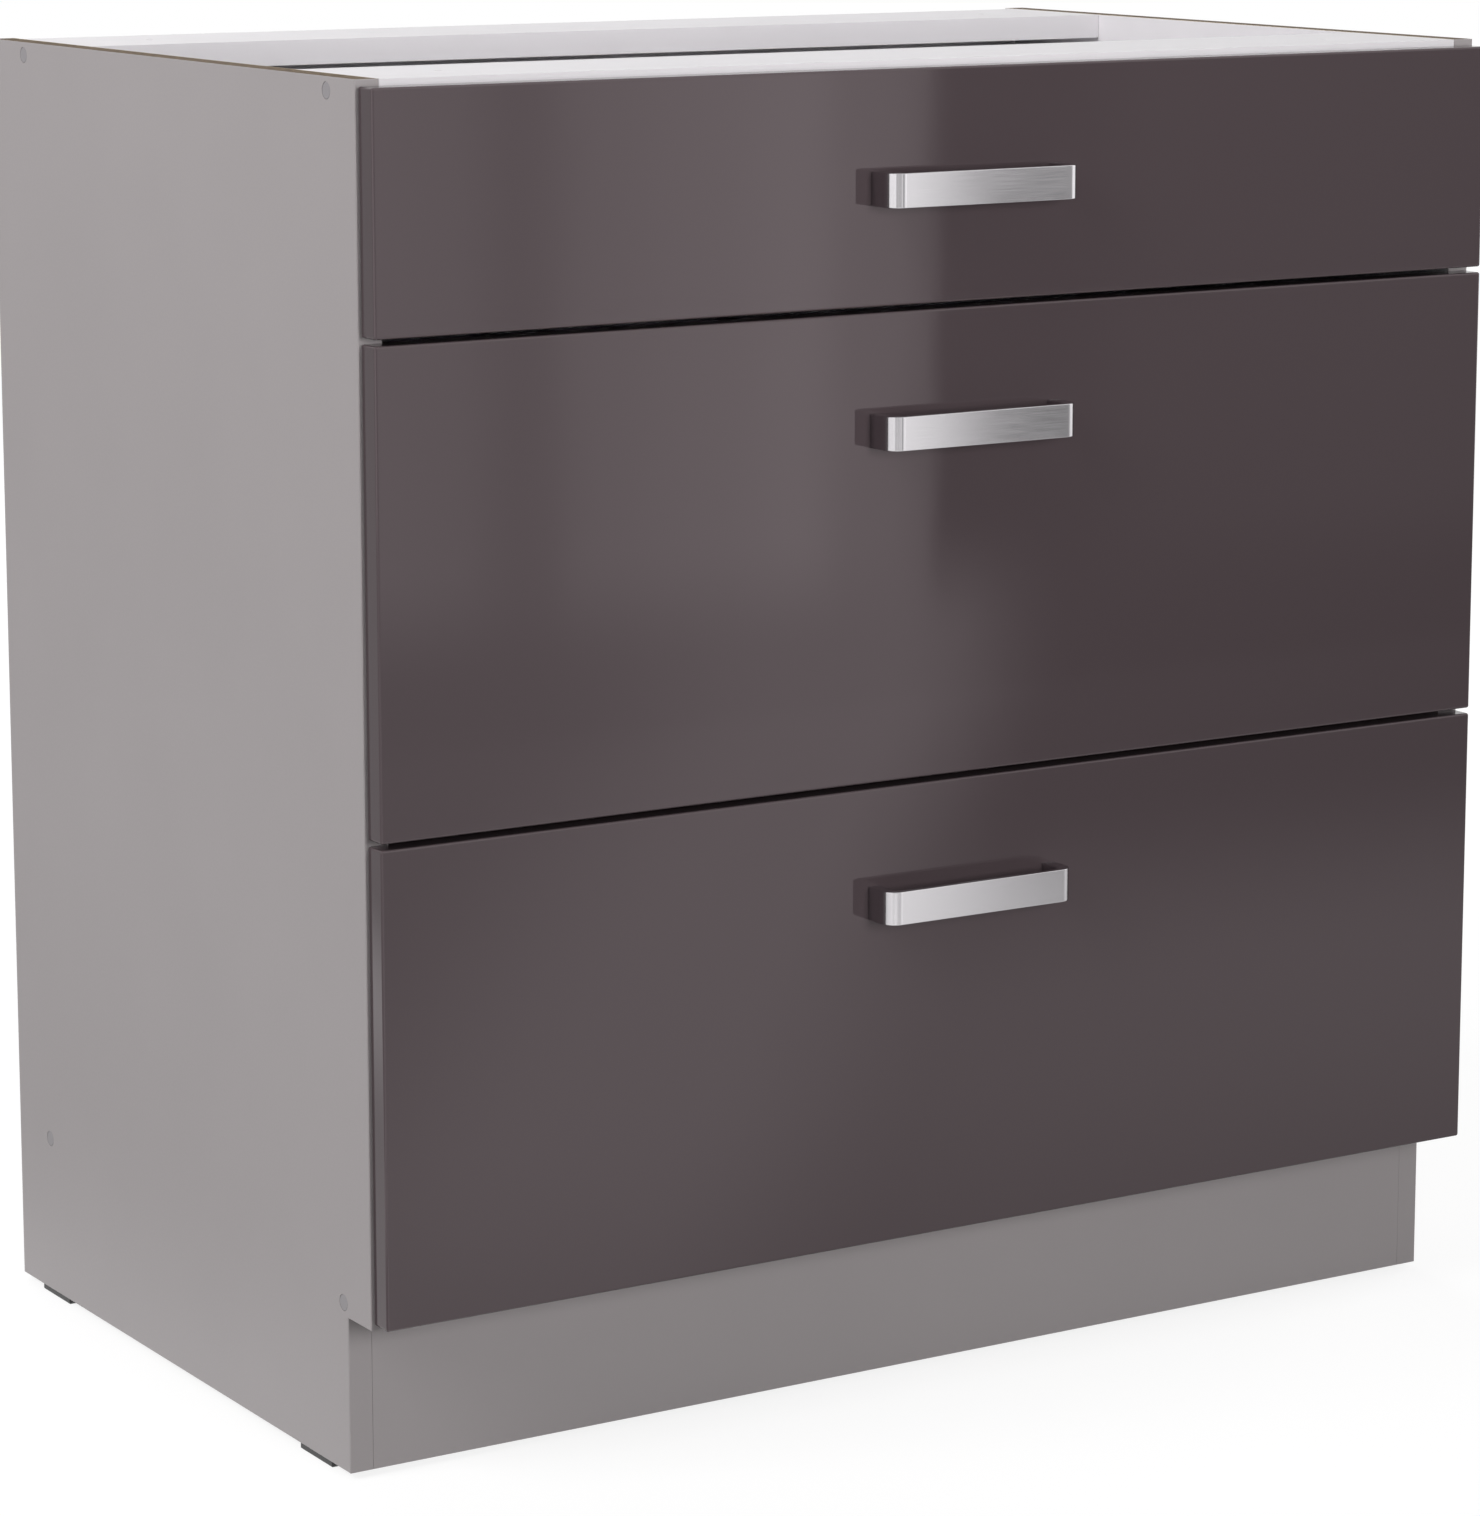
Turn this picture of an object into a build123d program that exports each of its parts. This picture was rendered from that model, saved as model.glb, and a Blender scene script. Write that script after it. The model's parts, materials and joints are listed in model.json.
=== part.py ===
from build123d import *
import os
from typing import NamedTuple

# Kitchen base cabinet, 800 mm wide, with one shallow and two deep drawers on roller runners.
# Millimetres. +X is right as seen from the front, +Y runs to the back, +Z is up.
# The origin is the bottom centre of the closed cabinet's bounding box, handles included.

# ---- carcass boards ----
cabinet_width = 800.0
carcass_depth = 500.0
side_height = 816.0
side_thickness = 15.0
board_thickness = 16.0
rail_depth = 102.0
back_panel_thickness = 3.0
back_panel_inset = 10.0
groove_depth = 8.0
groove_clearance = 0.2
band_thickness = 0.8

# ---- toe space and plinth ----
toe_height = 94.8
plinth_setback = 28.9
plinth_thickness = 16.0
plinth_top_gap = 0.5

# ---- floor glides ----
glide_height = 4.0
glide_length = 40.5
glide_side_inset = 0.5
glide_chamfer = 0.8
glide_front_y = 74.5
glide_rear_y = 449.0
glide_nail_radius = 1.5
glide_nail_length = 12.0

# ---- drawer fronts ----
front_thickness = 15.0
front_gap = 0.8
front_side_inset = 2.0
front_top_reveal = 4.0
front_bottom_reveal = 3.1
front_spacing = 3.5
top_front_height = 140.0
front_edge_radius = 1.5

# ---- bow handles ----
handle_spacing = 128.0
handle_arm = 8.4
handle_height = 20.4
handle_projection = 23.4
handle_bar = 4.0
handle_outer_radius = 9.7
handle_inner_radius = 5.0
handle_drop = 70.0
handle_hole_depth = 12.0

# ---- roller runners and steel drawer sides ----
drawer_travel = 350.0
side_gap = 12.5
runner_sheet = 1.2
runner_overrun = 2.0
runner_setback = 3.0
runner_bend = 1.4
runner_lip_gap = 0.6
track_clearance = 2.0
flange_clearance = 1.3
drawer_sheet = 1.2
drawer_bend = 1.4
hem_width = 5.5
hem_drop = 4.0
base_leg = 14.0
drawer_side_height = 86.0
drawer_rear_clearance = 36.0
drawer_lift = 30.0
drawer_rail_gap = 12.0
axle_height = 11.5
side_front_gap = 0.5
rear_tab_width = 18.0
rear_tab_foot = 8.0

# ---- rollers and their riveted pins ----
roller_radius = 8.4
roller_width = 6.8
roller_side_gap = 0.9
roll_gap = 0.3
pin_radius = 2.0
pin_clearance = 0.05
pin_end_play = 0.2
rivet_head_radius = 3.2
rivet_head_height = 0.8
roller_recess_depth = 1.2
roller_recess_margin = 0.7
front_roller_y = 28.0
rear_roller_inset = 14.0

# ---- drawer boxes ----
drawer_base_thickness = 16.0
drawer_back_thickness = 16.0
board_clearance = 0.3
deep_back_height = 190.0
gallery_height = 160.0
gallery_radius = 5.0
gallery_wall = 1.0
gallery_inset = 12.0
gallery_fit = 0.05
gallery_cup_radius = 8.0
gallery_cup_depth = 8.0
gallery_cup_floor = 2.0
bracket_sheet = 1.5
bracket_plate = 32.0
bracket_leg = 40.0
bracket_foot = 4.0
bracket_height = 56.0

# ---- plinth brackets ----
angle_leg = 30.0
angle_width = 20.0
angle_sheet = 1.5
angle_spacing = 280.0

# ---- screws and caps ----
hole_clearance = 0.05
shank_sides = 6
head_sides = 6
pin_sides = 8
cap_sides = 16
body_screw_radius = 3.5
body_screw_length = 50.0
body_screw_head_radius = 4.8
body_screw_head_height = 3.0
body_screw_inset = 35.0
cap_radius = 5.0
cap_thickness = 0.8
cap_clearance = 0.1
small_screw_radius = 1.75
small_screw_length = 12.0
small_head_radius = 3.4
small_head_height = 1.6
handle_screw_radius = 2.0
handle_screw_reach = 10.0
handle_head_radius = 4.0
handle_head_height = 2.4
front_hole_radius = 2.5
worktop_hole_radius = 2.5
worktop_hole_spacing = 640.0
runner_screw_y = (37.0, 261.0)

# ---- places worked out from the sizes above ----
overall_depth = carcass_depth + front_gap + front_thickness + handle_projection
carcass_back = overall_depth / 2
carcass_front = carcass_back - carcass_depth
front_back_y = carcass_front - front_gap
front_face_y = front_back_y - front_thickness
outer_half = cabinet_width / 2
inner_half = outer_half - side_thickness
side_bottom = glide_height
carcass_top = side_bottom + side_height
toe_top = side_bottom + toe_height
bottom_panel_top = toe_top + board_thickness
rail_bottom = carcass_top - board_thickness
plinth_front = carcass_front + plinth_setback
plinth_back = plinth_front + plinth_thickness
back_panel_rear = carcass_back - back_panel_inset
back_panel_front = back_panel_rear - back_panel_thickness
rear_rail_front = back_panel_front - rail_depth
front_rail_centre_y = carcass_front + rail_depth / 2
rear_rail_centre_y = rear_rail_front + rail_depth / 2
front_screw_y = carcass_front + body_screw_inset
rear_screw_y = back_panel_front - body_screw_inset
rail_screw_z = carcass_top - board_thickness / 2
bottom_screw_z = toe_top + board_thickness / 2

# Drawer cross-section, as distances from the middle of the cabinet.
runner_face_x = inner_half - runner_sheet
drawer_outer_x = inner_half - side_gap
drawer_inner_x = drawer_outer_x - drawer_sheet
roller_outer_x = runner_face_x - roller_side_gap
roller_inner_x = roller_outer_x - roller_width
flange_tip_x = runner_face_x - flange_clearance
track_tip_x = drawer_outer_x + track_clearance
base_half = drawer_inner_x - drawer_bend
back_half = drawer_inner_x - board_clearance
recess_radius = rivet_head_radius + roller_recess_margin

# Heights in the drawer cross-section, counted from the underside of the drawer side.
flange_thickness = 2 * drawer_sheet
flange_underside = axle_height + roller_radius + roll_gap
flange_top = flange_underside + flange_thickness
track_top = axle_height - roller_radius - roll_gap
lip_underside = flange_top + runner_lip_gap
base_top = drawer_sheet + drawer_base_thickness

# Depth positions of the drawer box.
box_front = front_back_y + side_front_gap
box_rear = back_panel_front - drawer_rear_clearance
drawer_side_length = box_rear - box_front
runner_front = carcass_front + runner_setback
runner_rear = box_rear + runner_overrun
front_roller_centre_y = carcass_front + front_roller_y
rear_roller_centre_y = box_rear - rear_roller_inset

front_half = outer_half - front_side_inset
fronts_top = carcass_top - front_top_reveal
fronts_bottom = toe_top + front_bottom_reveal
deep_front_height = (fronts_top - fronts_bottom - top_front_height - 2 * front_spacing) / 2


class Drawer(NamedTuple):
    """One drawer: its front's lower edge and height, and its box's underside and back height."""

    name: str
    front_bottom: float
    front_height: float
    box_bottom: float
    back_height: float
    has_gallery: bool

    @property
    def handle_z(self):
        return self.front_bottom + self.front_height - handle_drop

    @property
    def axle_z(self):
        return self.box_bottom + axle_height


def deep_drawer(name, front_bottom):
    """A deep drawer, whose box hangs a fixed lift above its front's lower edge."""
    box_bottom = front_bottom + drawer_lift
    return Drawer(name, front_bottom, deep_front_height, box_bottom, deep_back_height, True)


# The shallow drawer's box hangs a fixed gap below the top rails.
top_drawer = Drawer(
    "top",
    fronts_top - top_front_height,
    top_front_height,
    rail_bottom - drawer_rail_gap - drawer_side_height,
    drawer_side_height,
    False,
)
middle_drawer = deep_drawer("middle", fronts_bottom + deep_front_height + front_spacing)
bottom_drawer = deep_drawer("bottom", fronts_bottom)
drawers = (top_drawer, middle_drawer, bottom_drawer)


# ---- helpers ----
def block(x0, x1, y0, y1, z0, z1):
    """A plain board between two opposite corners."""
    middle = Pos((x0 + x1) / 2, (y0 + y1) / 2, (z0 + z1) / 2)
    return middle * Box(x1 - x0, y1 - y0, z1 - z0)


def rod(start, direction, radius, length):
    """A round bar that starts at a point and runs one way."""
    seat = (Align.CENTER, Align.CENTER, Align.MIN)
    return Plane(origin=start, z_dir=direction) * Cylinder(radius, length, align=seat)


def prism(start, direction, radius, sides, length):
    """A bar with flat sides, its corners on a circle, that starts at a point and runs one way."""
    return Plane(origin=start, z_dir=direction) * extrude(RegularPolygon(radius, sides), amount=length)


def bore(start, direction, radius, length):
    """A flat-sided hole round a bar of the given radius, which its flats touch."""
    section = RegularPolygon(radius, pin_sides, major_radius=False)
    return Plane(origin=start, z_dir=direction) * extrude(section, amount=length)


def countersink(start, direction, radius, end_radius, length):
    """The tapered head of a countersunk screw, or its seat, with as many sides as a shank."""
    plane = Plane(origin=start, z_dir=direction)
    wide_end = plane * RegularPolygon(radius, shank_sides)
    narrow_end = plane.offset(length) * RegularPolygon(end_radius, shank_sides)
    return loft([wide_end, narrow_end], ruled=True)


def shank(start, direction, radius, length):
    """A screw's shank without its thread, or another hidden bar or hole for which six sides do."""
    return prism(start, direction, radius, shank_sides, length)


def screw(start, direction, radius, length, head_radius, head_height):
    """A screw whose head rests on the start point, with its shank running in the direction."""
    back = tuple(-step for step in direction)
    head = prism(start, back, head_radius, head_sides, head_height)
    return shank(start, direction, radius, length) + head


def small_screw(start, direction, length=small_screw_length):
    return screw(
        start, direction, small_screw_radius, length, small_head_radius, small_head_height
    )


def small_hole(start, direction, length=small_screw_length):
    """The hole for a small screw, begun a little outside the surface so that it cuts cleanly."""
    lead = 1.0
    outside = tuple(place - lead * step for place, step in zip(start, direction))
    radius = small_screw_radius + hole_clearance
    return shank(outside, direction, radius, length + lead + hole_clearance)


def mirrored(shape):
    """The same piece on the other side of the cabinet."""
    return mirror(shape, about=Plane.YZ)


def group(pieces):
    """Several separate solids that share one name."""
    return Compound([solid for piece in pieces for solid in piece.solids()])


def both_sides(pieces):
    """A group of pieces and their mirror images."""
    return group(list(pieces) + [mirrored(piece) for piece in pieces])


def formed_sheet(points, sheet, bend, y0, y1):
    """A roll-formed strip: its centre line in X and Z, with rounded bends, run from y0 to y1."""
    section = trace(FilletPolyline(*points, radius=bend), line_width=sheet)
    return extrude(Plane.XZ.offset(-y1) * section, amount=y1 - y0)


# ---- carcass ----
def body_screw_places():
    """Where the body screws enter the left side panel: Y and Z."""
    return [(y, z) for y in (front_screw_y, rear_screw_y) for z in (rail_screw_z, bottom_screw_z)]


def glide_places():
    """The front and rear ends of each glide under a side panel."""
    centres = (carcass_front + glide_front_y, carcass_front + glide_rear_y)
    return [(y - glide_length / 2, y + glide_length / 2) for y in centres]


def side_panel():
    """Left side panel with its toe notch, back groove and screw holes."""
    panel = block(
        -outer_half, -inner_half, carcass_front + band_thickness, carcass_back, side_bottom, carcass_top
    )
    panel -= block(
        -outer_half - 1,
        -inner_half + 1,
        carcass_front - 1,
        plinth_front + band_thickness,
        side_bottom - 1,
        toe_top,
    )
    panel -= block(
        -inner_half - groove_depth,
        -inner_half + 1,
        back_panel_front,
        back_panel_rear + groove_clearance,
        side_bottom - 1,
        carcass_top + 1,
    )
    seat_depth = cap_thickness + body_screw_head_height
    for y, z in body_screw_places():
        mouth = (-outer_half, y, z)
        panel -= prism(mouth, (1, 0, 0), cap_radius + cap_clearance, cap_sides, seat_depth)
        panel -= shank(mouth, (1, 0, 0), body_screw_radius + hole_clearance, side_thickness)
    for drawer in drawers:
        for y in runner_screw_y:
            start = (-inner_half, carcass_front + y, drawer.axle_z)
            panel -= small_hole(start, (-1, 0, 0))
    for y0, y1 in glide_places():
        start = (-(outer_half + inner_half) / 2, (y0 + y1) / 2, side_bottom)
        nail_hole_depth = glide_nail_length + hole_clearance
        panel -= shank(start, (0, 0, 1), glide_nail_radius + hole_clearance, nail_hole_depth)
    return panel


def cross_board(y0, y1, z0, z1):
    """A board between the side panels, drilled at both ends for the body screws."""
    board = block(-inner_half, inner_half, y0, y1, z0, z1)
    reach = cap_thickness + body_screw_head_height + body_screw_length - side_thickness
    for y, z in body_screw_places():
        if y0 < y < y1 and z0 < z < z1:
            start = (-inner_half, y, z)
            hole = shank(start, (1, 0, 0), body_screw_radius + hole_clearance, reach + hole_clearance)
            board -= hole
            board -= mirrored(hole)
    return board


def bottom_panel():
    panel = cross_board(carcass_front + band_thickness, back_panel_front, toe_top, bottom_panel_top)
    for x in angle_places():
        start = (x, plinth_back + angle_leg / 2, toe_top)
        panel -= small_hole(start, (0, 0, 1))
    return panel


def drilled_rail(y0, y1, centre_y):
    """A top rail with two holes for the screws that hold the worktop."""
    rail = cross_board(y0, y1, rail_bottom, carcass_top)
    for x in (-worktop_hole_spacing / 2, worktop_hole_spacing / 2):
        rail -= rod((x, centre_y, rail_bottom), (0, 0, 1), worktop_hole_radius, board_thickness)
    return rail


def front_rail():
    return drilled_rail(
        carcass_front + band_thickness, carcass_front + rail_depth - band_thickness, front_rail_centre_y
    )


def rear_rail():
    return drilled_rail(rear_rail_front + band_thickness, back_panel_front, rear_rail_centre_y)


def back_panel():
    """Thin panel in the side panels' grooves, behind the bottom panel and the rear rail."""
    half = inner_half + groove_depth - groove_clearance
    return block(-half, half, back_panel_front, back_panel_rear, toe_top, carcass_top - groove_clearance)


def plinth_board():
    board = block(
        -inner_half, inner_half, plinth_front, plinth_back, side_bottom, toe_top - plinth_top_gap
    )
    for x in angle_places():
        start = (x, plinth_back, toe_top - angle_leg / 2)
        board -= small_hole(start, (0, -1, 0))
    return board


def angle_places():
    return (-angle_spacing, 0.0, angle_spacing)


def angle_bracket(x):
    """Steel angle behind the plinth board, screwed to it and to the bottom panel."""
    x0 = x - angle_width / 2
    x1 = x + angle_width / 2
    upright = block(
        x0, x1, plinth_back, plinth_back + angle_sheet, toe_top - angle_leg, toe_top - plinth_top_gap
    )
    shelf = block(x0, x1, plinth_back, plinth_back + angle_leg, toe_top - angle_sheet, toe_top)
    bracket = upright + shelf
    bracket -= small_hole((x, plinth_back + angle_leg / 2, toe_top - angle_sheet), (0, 0, 1))
    bracket -= small_hole((x, plinth_back + angle_sheet, toe_top - angle_leg / 2), (0, -1, 0))
    return bracket


def plinth_brackets():
    return group([angle_bracket(x) for x in angle_places()])


def floor_glides():
    """Plastic glides nailed under the side panels, with worn-in lower edges."""
    glides = []
    for y0, y1 in glide_places():
        x0 = -outer_half + glide_side_inset
        x1 = -inner_half - glide_side_inset
        pad = block(x0, x1, y0, y1, 0, glide_height)
        pad = chamfer(pad.faces().sort_by(Axis.Z)[0].edges(), glide_chamfer)
        nail_foot = ((x0 + x1) / 2, (y0 + y1) / 2, glide_height)
        glides.append(pad + shank(nail_foot, (0, 0, 1), glide_nail_radius, glide_nail_length))
    return both_sides(glides)


def carcass_screws():
    """Body screws through the side panels, and the screws of the plinth brackets."""
    body_screws = []
    for y, z in body_screw_places():
        start = (-outer_half + cap_thickness + body_screw_head_height, y, z)
        body_screws.append(
            screw(
                start,
                (1, 0, 0),
                body_screw_radius,
                body_screw_length,
                body_screw_head_radius,
                body_screw_head_height,
            )
        )
    bracket_screws = []
    for x in angle_places():
        bracket_screws.append(
            small_screw((x, plinth_back + angle_leg / 2, toe_top - angle_sheet), (0, 0, 1))
        )
        bracket_screws.append(
            small_screw((x, plinth_back + angle_sheet, toe_top - angle_leg / 2), (0, -1, 0))
        )
    return group([both_sides(body_screws)] + bracket_screws)


def cover_caps():
    """Flush plastic discs over the heads of the body screws."""
    caps = []
    for y, z in body_screw_places():
        caps.append(prism((-outer_half, y, z), (1, 0, 0), cap_radius, cap_sides, cap_thickness))
    return both_sides(caps)


def edge_bands():
    """Strips on the front edges of the side panels, rails and bottom panel."""
    side_bands = [
        block(-outer_half, -inner_half, carcass_front, carcass_front + band_thickness, toe_top, carcass_top),
        block(-outer_half, -inner_half, plinth_front, plinth_front + band_thickness, side_bottom, toe_top),
    ]
    rail_rear = carcass_front + rail_depth
    cross_bands = [
        (carcass_front, rail_bottom, carcass_top),
        (rail_rear - band_thickness, rail_bottom, carcass_top),
        (rear_rail_front, rail_bottom, carcass_top),
        (carcass_front, toe_top, bottom_panel_top),
    ]
    strips = [block(-inner_half, inner_half, y, y + band_thickness, z0, z1) for y, z0, z1 in cross_bands]
    return group([both_sides(side_bands)] + strips)


# ---- roller runners ----
def riveted_pin(foot_x, direction, shoulder, y, z):
    """A pin with a shoulder at its foot and a flat head at its end, along X from foot_x."""
    head_start = shoulder + pin_end_play + roller_width - roller_recess_depth + pin_end_play
    along = (direction, 0, 0)
    pin = prism((foot_x, y, z), along, pin_radius, pin_sides, head_start + rivet_head_height)
    pin += prism((foot_x, y, z), along, rivet_head_radius, pin_sides, shoulder)
    head_x = foot_x + direction * head_start
    return pin + prism((head_x, y, z), along, rivet_head_radius, pin_sides, rivet_head_height)


def runner(drawer):
    """Left C-shaped profile on the side panel, with its front roller's pin riveted in."""
    half_sheet = runner_sheet / 2
    web_x = -inner_half + half_sheet
    tip_x = -track_tip_x
    low = drawer.box_bottom + track_top - half_sheet
    high = drawer.box_bottom + lip_underside + half_sheet
    line = [(tip_x, low), (web_x, low), (web_x, high), (tip_x, high)]
    profile = formed_sheet(line, runner_sheet, runner_bend, runner_front, runner_rear)
    for y in runner_screw_y:
        start = (-runner_face_x, carcass_front + y, drawer.axle_z)
        head_radius = small_head_radius + hole_clearance
        shank_radius = small_screw_radius + hole_clearance
        profile -= countersink(start, (-1, 0, 0), head_radius, shank_radius, runner_sheet)
    shoulder = roller_side_gap - pin_end_play
    pin = riveted_pin(-runner_face_x, 1, shoulder, front_roller_centre_y, drawer.axle_z)
    return profile + pin


def runner_screws():
    """Countersunk screws, flush with the inner face of each runner profile."""
    screws = []
    for drawer in drawers:
        for y in runner_screw_y:
            start = (-runner_face_x, carcass_front + y, drawer.axle_z)
            head = countersink(start, (-1, 0, 0), small_head_radius, small_screw_radius, runner_sheet)
            shank_start = (-inner_half, carcass_front + y, drawer.axle_z)
            screws.append(head + shank(shank_start, (-1, 0, 0), small_screw_radius, small_screw_length))
    return both_sides(screws)


def roller(y, z, head_side):
    """Left nylon roller: round tread, pin bore, and a recess for the rivet head."""
    wheel = rod((-roller_outer_x, y, z), (1, 0, 0), roller_radius, roller_width)
    wheel -= bore((-roller_outer_x, y, z), (1, 0, 0), pin_radius + pin_clearance, roller_width)
    face_x = -roller_outer_x if head_side < 0 else -roller_inner_x
    wheel -= bore((face_x, y, z), (-head_side, 0, 0), recess_radius, roller_recess_depth)
    return wheel


def runner_roller(drawer):
    return roller(front_roller_centre_y, drawer.axle_z, 1)


def drawer_roller(drawer):
    return roller(rear_roller_centre_y, drawer.axle_z, -1)


# ---- drawer boxes ----
def bracket_screw_heights(drawer):
    """Two heights for the screws of a front bracket."""
    foot = drawer.box_bottom + base_top + bracket_foot
    return (foot + bracket_height / 4, foot + 3 * bracket_height / 4)


def tab_screw_heights(drawer):
    """Two heights for the screws of a rear tab."""
    foot = drawer.box_bottom + base_top + rear_tab_foot
    top = drawer.box_bottom + drawer_side_height - rear_tab_foot
    return (foot + (top - foot) / 4, foot + 3 * (top - foot) / 4)


def base_screw_places():
    """Y positions of the screws through the leg of a drawer side into the base."""
    return (box_front + drawer_side_length / 4, box_front + 3 * drawer_side_length / 4)


def base_screw_x():
    return drawer_inner_x - base_leg + small_head_radius


def tab_screw_x():
    return drawer_inner_x - rear_tab_width / 2


def bracket_screw_x():
    return drawer_inner_x - bracket_plate / 2


def drawer_side(drawer):
    """Left steel side: hemmed top, outward running flange, leg under the base, rear tab and pin."""
    half_sheet = drawer_sheet / 2
    web_x = -drawer_inner_x - half_sheet
    low = drawer.box_bottom + half_sheet
    high = drawer.box_bottom + drawer_side_height - half_sheet
    line = [
        (-drawer_inner_x + base_leg, low),
        (web_x, low),
        (web_x, high),
        (web_x - hem_width, high),
        (web_x - hem_width, high - hem_drop),
    ]
    side = formed_sheet(line, drawer_sheet, drawer_bend, box_front, box_rear)
    flange = block(
        -flange_tip_x,
        web_x,
        box_front,
        box_rear,
        drawer.box_bottom + flange_underside,
        drawer.box_bottom + flange_top,
    )
    side += flange
    side += block(
        -drawer_outer_x,
        -drawer_inner_x + rear_tab_width,
        box_rear,
        box_rear + drawer_sheet,
        drawer.box_bottom + base_top + rear_tab_foot,
        drawer.box_bottom + drawer_side_height - rear_tab_foot,
    )
    for z in tab_screw_heights(drawer):
        side -= small_hole((-tab_screw_x(), box_rear + drawer_sheet, z), (0, -1, 0))
    for y in base_screw_places():
        side -= small_hole((-base_screw_x(), y, drawer.box_bottom), (0, 0, 1))
    shoulder = roller_inner_x - drawer_outer_x - pin_end_play
    pin = riveted_pin(-drawer_outer_x, -1, shoulder, rear_roller_centre_y, drawer.axle_z)
    return side + pin


def drawer_base(drawer):
    z0 = drawer.box_bottom + drawer_sheet
    board = block(-base_half, base_half, box_front, box_rear, z0, z0 + drawer_base_thickness)
    for y in base_screw_places():
        hole = small_hole((-base_screw_x(), y, z0), (0, 0, 1))
        board -= hole
        board -= mirrored(hole)
    return board


def drawer_back(drawer):
    """Chipboard back that stands on the base between the steel sides."""
    z0 = drawer.box_bottom + base_top
    z1 = drawer.box_bottom + drawer.back_height
    board = block(-back_half, back_half, box_rear - drawer_back_thickness, box_rear, z0, z1)
    for z in tab_screw_heights(drawer):
        hole = small_hole((-tab_screw_x(), box_rear, z), (0, -1, 0))
        board -= hole
        board -= mirrored(hole)
    return board


def drawer_front(drawer):
    """Front board with softened face edges, drilled for its handle and brackets."""
    z0 = drawer.front_bottom
    board = block(-front_half, front_half, front_face_y, front_back_y, z0, z0 + drawer.front_height)
    board = fillet(board.faces().sort_by(Axis.Y)[0].edges(), front_edge_radius)
    for x in (-handle_spacing / 2, handle_spacing / 2):
        board -= shank((x, front_back_y, drawer.handle_z), (0, -1, 0), front_hole_radius, front_thickness)
    for z in bracket_screw_heights(drawer):
        hole = small_hole((-bracket_screw_x(), front_back_y, z), (0, -1, 0), bracket_screw_length())
        board -= hole
        board -= mirrored(hole)
    return board


def bracket_screw_length():
    """Bracket screws stop inside the front board."""
    return front_thickness - small_head_radius


def front_bracket(drawer):
    """Left steel angle: its plate is screwed to the front and its leg spot-welded to the side."""
    z0 = drawer.box_bottom + base_top + bracket_foot
    z1 = z0 + bracket_height
    plate = block(
        -drawer_inner_x, -drawer_inner_x + bracket_plate, front_back_y, front_back_y + bracket_sheet, z0, z1
    )
    leg = block(
        -drawer_inner_x, -drawer_inner_x + bracket_sheet, front_back_y, front_back_y + bracket_leg, z0, z1
    )
    bracket = plate + leg
    for z in bracket_screw_heights(drawer):
        bracket -= small_hole((-bracket_screw_x(), front_back_y + bracket_sheet, z), (0, -1, 0))
    return bracket


def front_brackets(drawer):
    return both_sides([front_bracket(drawer)])


def box_screws(drawer):
    """All small screws of one drawer box."""
    screws = []
    for z in tab_screw_heights(drawer):
        screws.append(small_screw((-tab_screw_x(), box_rear + drawer_sheet, z), (0, -1, 0)))
    for y in base_screw_places():
        screws.append(small_screw((-base_screw_x(), y, drawer.box_bottom), (0, 0, 1)))
    for z in bracket_screw_heights(drawer):
        front_start = (-bracket_screw_x(), front_back_y + bracket_sheet, z)
        screws.append(small_screw(front_start, (0, -1, 0), bracket_screw_length()))
    return both_sides(screws)


def gallery_rails(drawer):
    """Round tubes above the steel sides, held in cups at the front and at the back board."""
    z = drawer.box_bottom + gallery_height
    x = -drawer_inner_x + gallery_inset
    front_stop = front_back_y
    rear_stop = box_rear - drawer_back_thickness
    tube_front = front_stop + gallery_cup_floor
    tube_length = rear_stop - gallery_cup_floor - tube_front
    tube = rod((x, tube_front, z), (0, 1, 0), gallery_radius, tube_length)
    tube -= shank((x, tube_front, z), (0, 1, 0), gallery_radius - gallery_wall, tube_length)
    pieces = [tube]
    for y, way in ((front_stop, 1), (rear_stop, -1)):
        cup = prism((x, y, z), (0, way, 0), gallery_cup_radius, cap_sides, gallery_cup_depth)
        mouth = (x, y + way * gallery_cup_floor, z)
        cup -= bore(mouth, (0, way, 0), gallery_radius + gallery_fit, gallery_cup_depth)
        pieces.append(cup)
    return both_sides(pieces)


# ---- handles ----
def handle(drawer):
    """Bow handle: a flat band with rounded corners and two arms tapped for screws."""
    half = handle_spacing / 2 + handle_arm / 2
    inner = handle_spacing / 2 - handle_arm / 2
    bar_y = front_face_y - handle_projection
    bar_back_y = bar_y + handle_bar
    outer = Polyline(
        (-half, front_face_y), (-half, bar_y), (half, bar_y), (half, front_face_y), close=True
    )
    outer_face = make_face(outer)
    front_corners = outer_face.vertices().sort_by(Axis.Y)[:2]
    outer_face = fillet(front_corners, handle_outer_radius)
    hollow = Polyline(
        (-inner, front_face_y + 1),
        (-inner, bar_back_y),
        (inner, bar_back_y),
        (inner, front_face_y + 1),
        close=True,
    )
    hollow_face = make_face(hollow)
    hollow_corners = hollow_face.vertices().sort_by(Axis.Y)[:2]
    hollow_face = fillet(hollow_corners, handle_inner_radius)
    plan = outer_face - hollow_face
    z0 = drawer.handle_z - handle_height / 2
    bow = extrude(Pos(0, 0, z0) * plan, amount=handle_height)
    for x in (-handle_spacing / 2, handle_spacing / 2):
        start = (x, front_face_y, drawer.handle_z)
        bow -= shank(start, (0, -1, 0), handle_screw_radius + hole_clearance, handle_hole_depth)
    return bow


def handle_screws(drawer):
    screws = []
    for x in (-handle_spacing / 2, handle_spacing / 2):
        screws.append(
            screw(
                (x, front_back_y, drawer.handle_z),
                (0, -1, 0),
                handle_screw_radius,
                front_thickness + handle_screw_reach,
                handle_head_radius,
                handle_head_height,
            )
        )
    return group(screws)


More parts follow.
